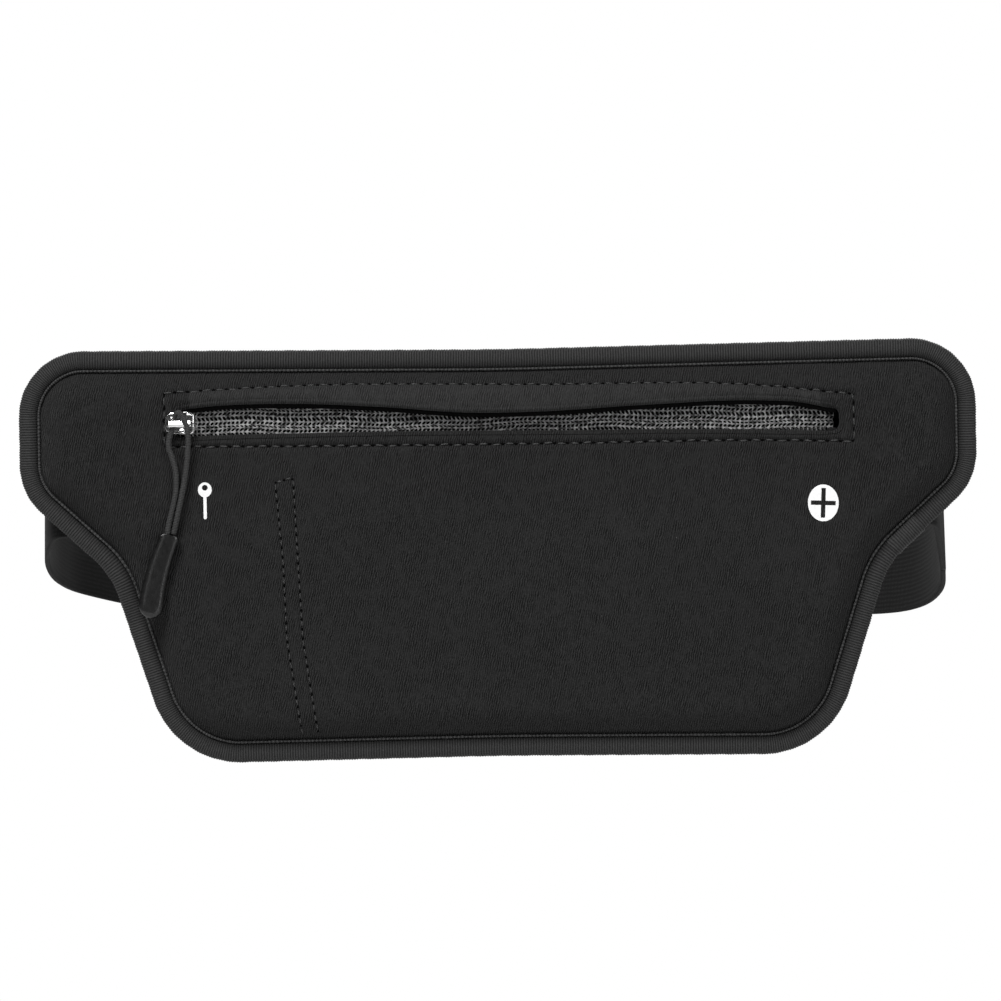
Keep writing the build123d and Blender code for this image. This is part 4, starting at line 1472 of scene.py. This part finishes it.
def curve_through(points, count):
    """Evenly spaced places on a smooth curve through some points."""
    points = np.array(points, float)
    padded = np.vstack([2 * points[0] - points[1], points, 2 * points[-1] - points[-2]])
    fine = []
    for a, b, c, d in zip(padded, padded[1:], padded[2:], padded[3:]):
        knots = [0]
        for p, q in ((a, b), (b, c), (c, d)):
            knots.append(knots[-1] + max(np.linalg.norm(q - p), 1e-6) ** 0.5)
        t = np.linspace(knots[1], knots[2], 24, endpoint=False)[:, None]

        def between(first, last, start, end):
            """Value part of the way between two, by where t is between two knots."""
            span = knots[last] - knots[first]
            return (knots[last] - t) / span * start + (t - knots[first]) / span * end

        ab, bc, cd = between(0, 1, a, b), between(1, 2, b, c), between(2, 3, c, d)
        fine.append(between(1, 2, between(0, 2, ab, bc), between(1, 3, bc, cd)))
    fine = np.vstack(fine + [points[-1:]])
    length = np.linalg.norm(np.diff(fine, axis=0), axis=1).sum()
    return along_route(fine, np.linspace(0, 1, count + 1)), length


def strap_section():
    """Section of the webbing: across its width and through its thickness."""
    half = strap_width / 2
    thin = strap_thick / 2
    ring = []
    for share in np.linspace(-1, 1, 13):
        ring.append((share * (half - 0.7), -thin))
    ring += [(half - 0.2, -thin * 0.75), (half, 0), (half - 0.2, thin * 0.75)]
    for share in np.linspace(1, -1, 13):
        ring.append((share * (half - 0.7), thin))
    return ring + [(-half + 0.2, thin * 0.75), (-half, 0), (-half + 0.2, -thin * 0.75)]


def webbing(name, plan, spacing=1.2):
    """Webbing on edge along a plan line, upright where it is sewn and leaning with the belt
    farther back. plan holds x, y and how far down the belt's droop it is, from 0 to 1."""
    count = int(curve_through(plan, 200)[1] / spacing)
    path, length = curve_through(plan, count)
    flat = path[:, :2]
    ways = np.gradient(flat, axis=0)
    ways /= np.linalg.norm(ways, axis=1)[:, None]
    outs = np.column_stack([ways[:, 1], -ways[:, 0]])
    section = np.array(strap_section())

    def place(u, v):
        k = np.round(u * count).astype(int)
        j = np.round(v * len(section)).astype(int) % len(section)
        across = section[j, 0]
        through = section[j, 1]
        x = flat[k, 0] + outs[k, 0] * through
        y = flat[k, 1] + outs[k, 1] * through
        droop = belt_droop * path[k, 2]
        c, s = np.cos(droop), np.sin(droop)
        ease = np.maximum(y - strap_y, 0)
        return metres(x, strap_y + (y - strap_y) * c + across * s, strap_z - ease * s + across * c)

    size = (length * mm, 2 * (strap_width + strap_thick) * mm)
    piece = wrapped_grid(name, count, len(section), place, size, 1e-6)
    close_ends(piece, flat_ends=True)
    return piece, length


elastic_web, tree = new_material("belt_webbing")
where = add(tree, "ShaderNodeTexCoord")
ribs = add(tree, "ShaderNodeTexWave", {
    "Vector": where.outputs["UV"],
    "Scale": 420,
    "Distortion": 0.6,
    "Detail": 1,
})
quarter_turn = (0, 0, math.pi / 2)
across = add(tree, "ShaderNodeMapping", {"Vector": where.outputs["UV"], "Rotation": quarter_turn})
yarns = add(tree, "ShaderNodeTexWave", {
    "Vector": across.outputs[0],
    "Scale": 300,
    "Distortion": 1.2,
    "Detail": 2,
})
cloth = use_group(tree, cloth_group, {"Vector": where.outputs["Object"], "Fuzz Scale": 2400})
weave = math_node(tree, "MULTIPLY", ribs.outputs["Fac"], yarns.outputs["Fac"])
mixed = blended(tree, (weave, 0.5), (cloth.outputs[1], 0.5))
tone = tone_ramp(tree, mixed, 0.004, 0.018, 0.15, 0.75)
finish_surface(tree, {
    "Base Color": tone,
    "Roughness": 0.8,
    "Specular IOR Level": 0.1,
    "Sheen Weight": 0.05,
}, mixed, 0.0002, 0.7)

left_plan = [
    (-84, 0.9, 0), (-100, 0.9, 0), (-110, 1.3, 0), (-118, 2.0, 0.1), (-125.5, 7, 0.6), (-128.5, 18, 1),
    (-131.5, 40, 1), (-132.5, 60, 1.05), (-131, 80, 1.05), (-125, 104, 1), (-104, 134, 1),
    (-80, 147.5, 1), (-60, belt_y, 1), (-34, belt_y, 1), (-28, belt_y - 0.3, 1),
    (-25.6, belt_y - 3.1, 1), (-28, belt_y - 5.9, 1), (-34, belt_y - 6.2, 1), (-55, belt_y - 6.2, 1),
]
strap_left, left_length = webbing("belt_left", left_plan)
right_plan = [
    (84, 0.9, 0), (100, 0.9, 0), (110, 1.3, 0), (118, 2.0, 0.1), (123.2, 7, 0.6), (125.2, 16, 1),
    (127.8, 38, 1.25), (130.4, 60, 1.4),
]
strap_right, right_length = webbing("belt_right", right_plan)
far_plan = [
    (130.4, 60, 1.4), (131.3, 84, 1.45), (125.5, 108, 1.4), (106, 134, 1.2), (80, 146, 1.08),
    (56, belt_y, 1), (40, belt_y, 1), (24, belt_y, 1),
]
strap_far, far_length = webbing("belt_right_far", far_plan)
loop_plan = [
    (24, belt_y, 1), (20, belt_y - 0.2, 1), (17.4, belt_y - 3.1, 1), (20, belt_y - 6.0, 1),
    (26, belt_y - 6.2, 1), (50, belt_y - 6.2, 1),
]
strap_loop, loop_length = webbing("belt_right_loop", loop_plan, 0.8)
for piece in (strap_left, strap_right, strap_far, strap_loop):
    piece.data.materials.append(elastic_web)
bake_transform(strap_left)
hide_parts("strap_left", "strap_end_left")
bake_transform(strap_right)
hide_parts("strap_right", "strap_end_right")
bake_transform(strap_far)
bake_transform(strap_loop)
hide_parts("strap_right_loop")


def strap_sewing(side):
    """Box of stitches that holds the belt's end to the back."""
    x0, x1 = side * 86, side * 102
    z0, z1 = strap_z - 16.5, strap_z + 16.5
    return [(x0, z0), (x0, z1), (x1, z1), (x1, z0), (x0, z0), (x1, z1)]


def on_strap(x, z):
    return np.full(np.shape(x), 1.72)


sewing_pitch = 2.8
for side, label in ((-1, "left"), (1, "right")):
    row = stitches("belt_stitching_" + label, strap_sewing(side), sewing_pitch, on_strap)
    row.data.materials.append(thread)
    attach(row, "pouch")

# Buckle and adjuster: side-release buckle and tri-glide in black moulded acetal, lightly textured,
# its roughness varying a little at random.
plastic, tree = new_material("acetal")
where = add(tree, "ShaderNodeTexCoord").outputs["Object"]
spark = add(tree, "ShaderNodeTexVoronoi", {"Vector": where, "Scale": 1700})
dust = use_group(tree, cloth_group, {"Vector": where, "Fuzz Scale": 700})
tone = tone_ramp(tree, dust.outputs[0], 0.009, 0.014)
rough = tone_ramp(tree, dust.outputs[1], 0.32, 0.48)
finish_surface(tree, {"Base Color": tone, "Roughness": rough}, spark.outputs["Distance"], 0.00003, 0.6)
for node in ("buckle_female", "buckle_male", "latch_prong_upper", "latch_prong_lower", "tri_glide"):
    give_finish(node, plastic)
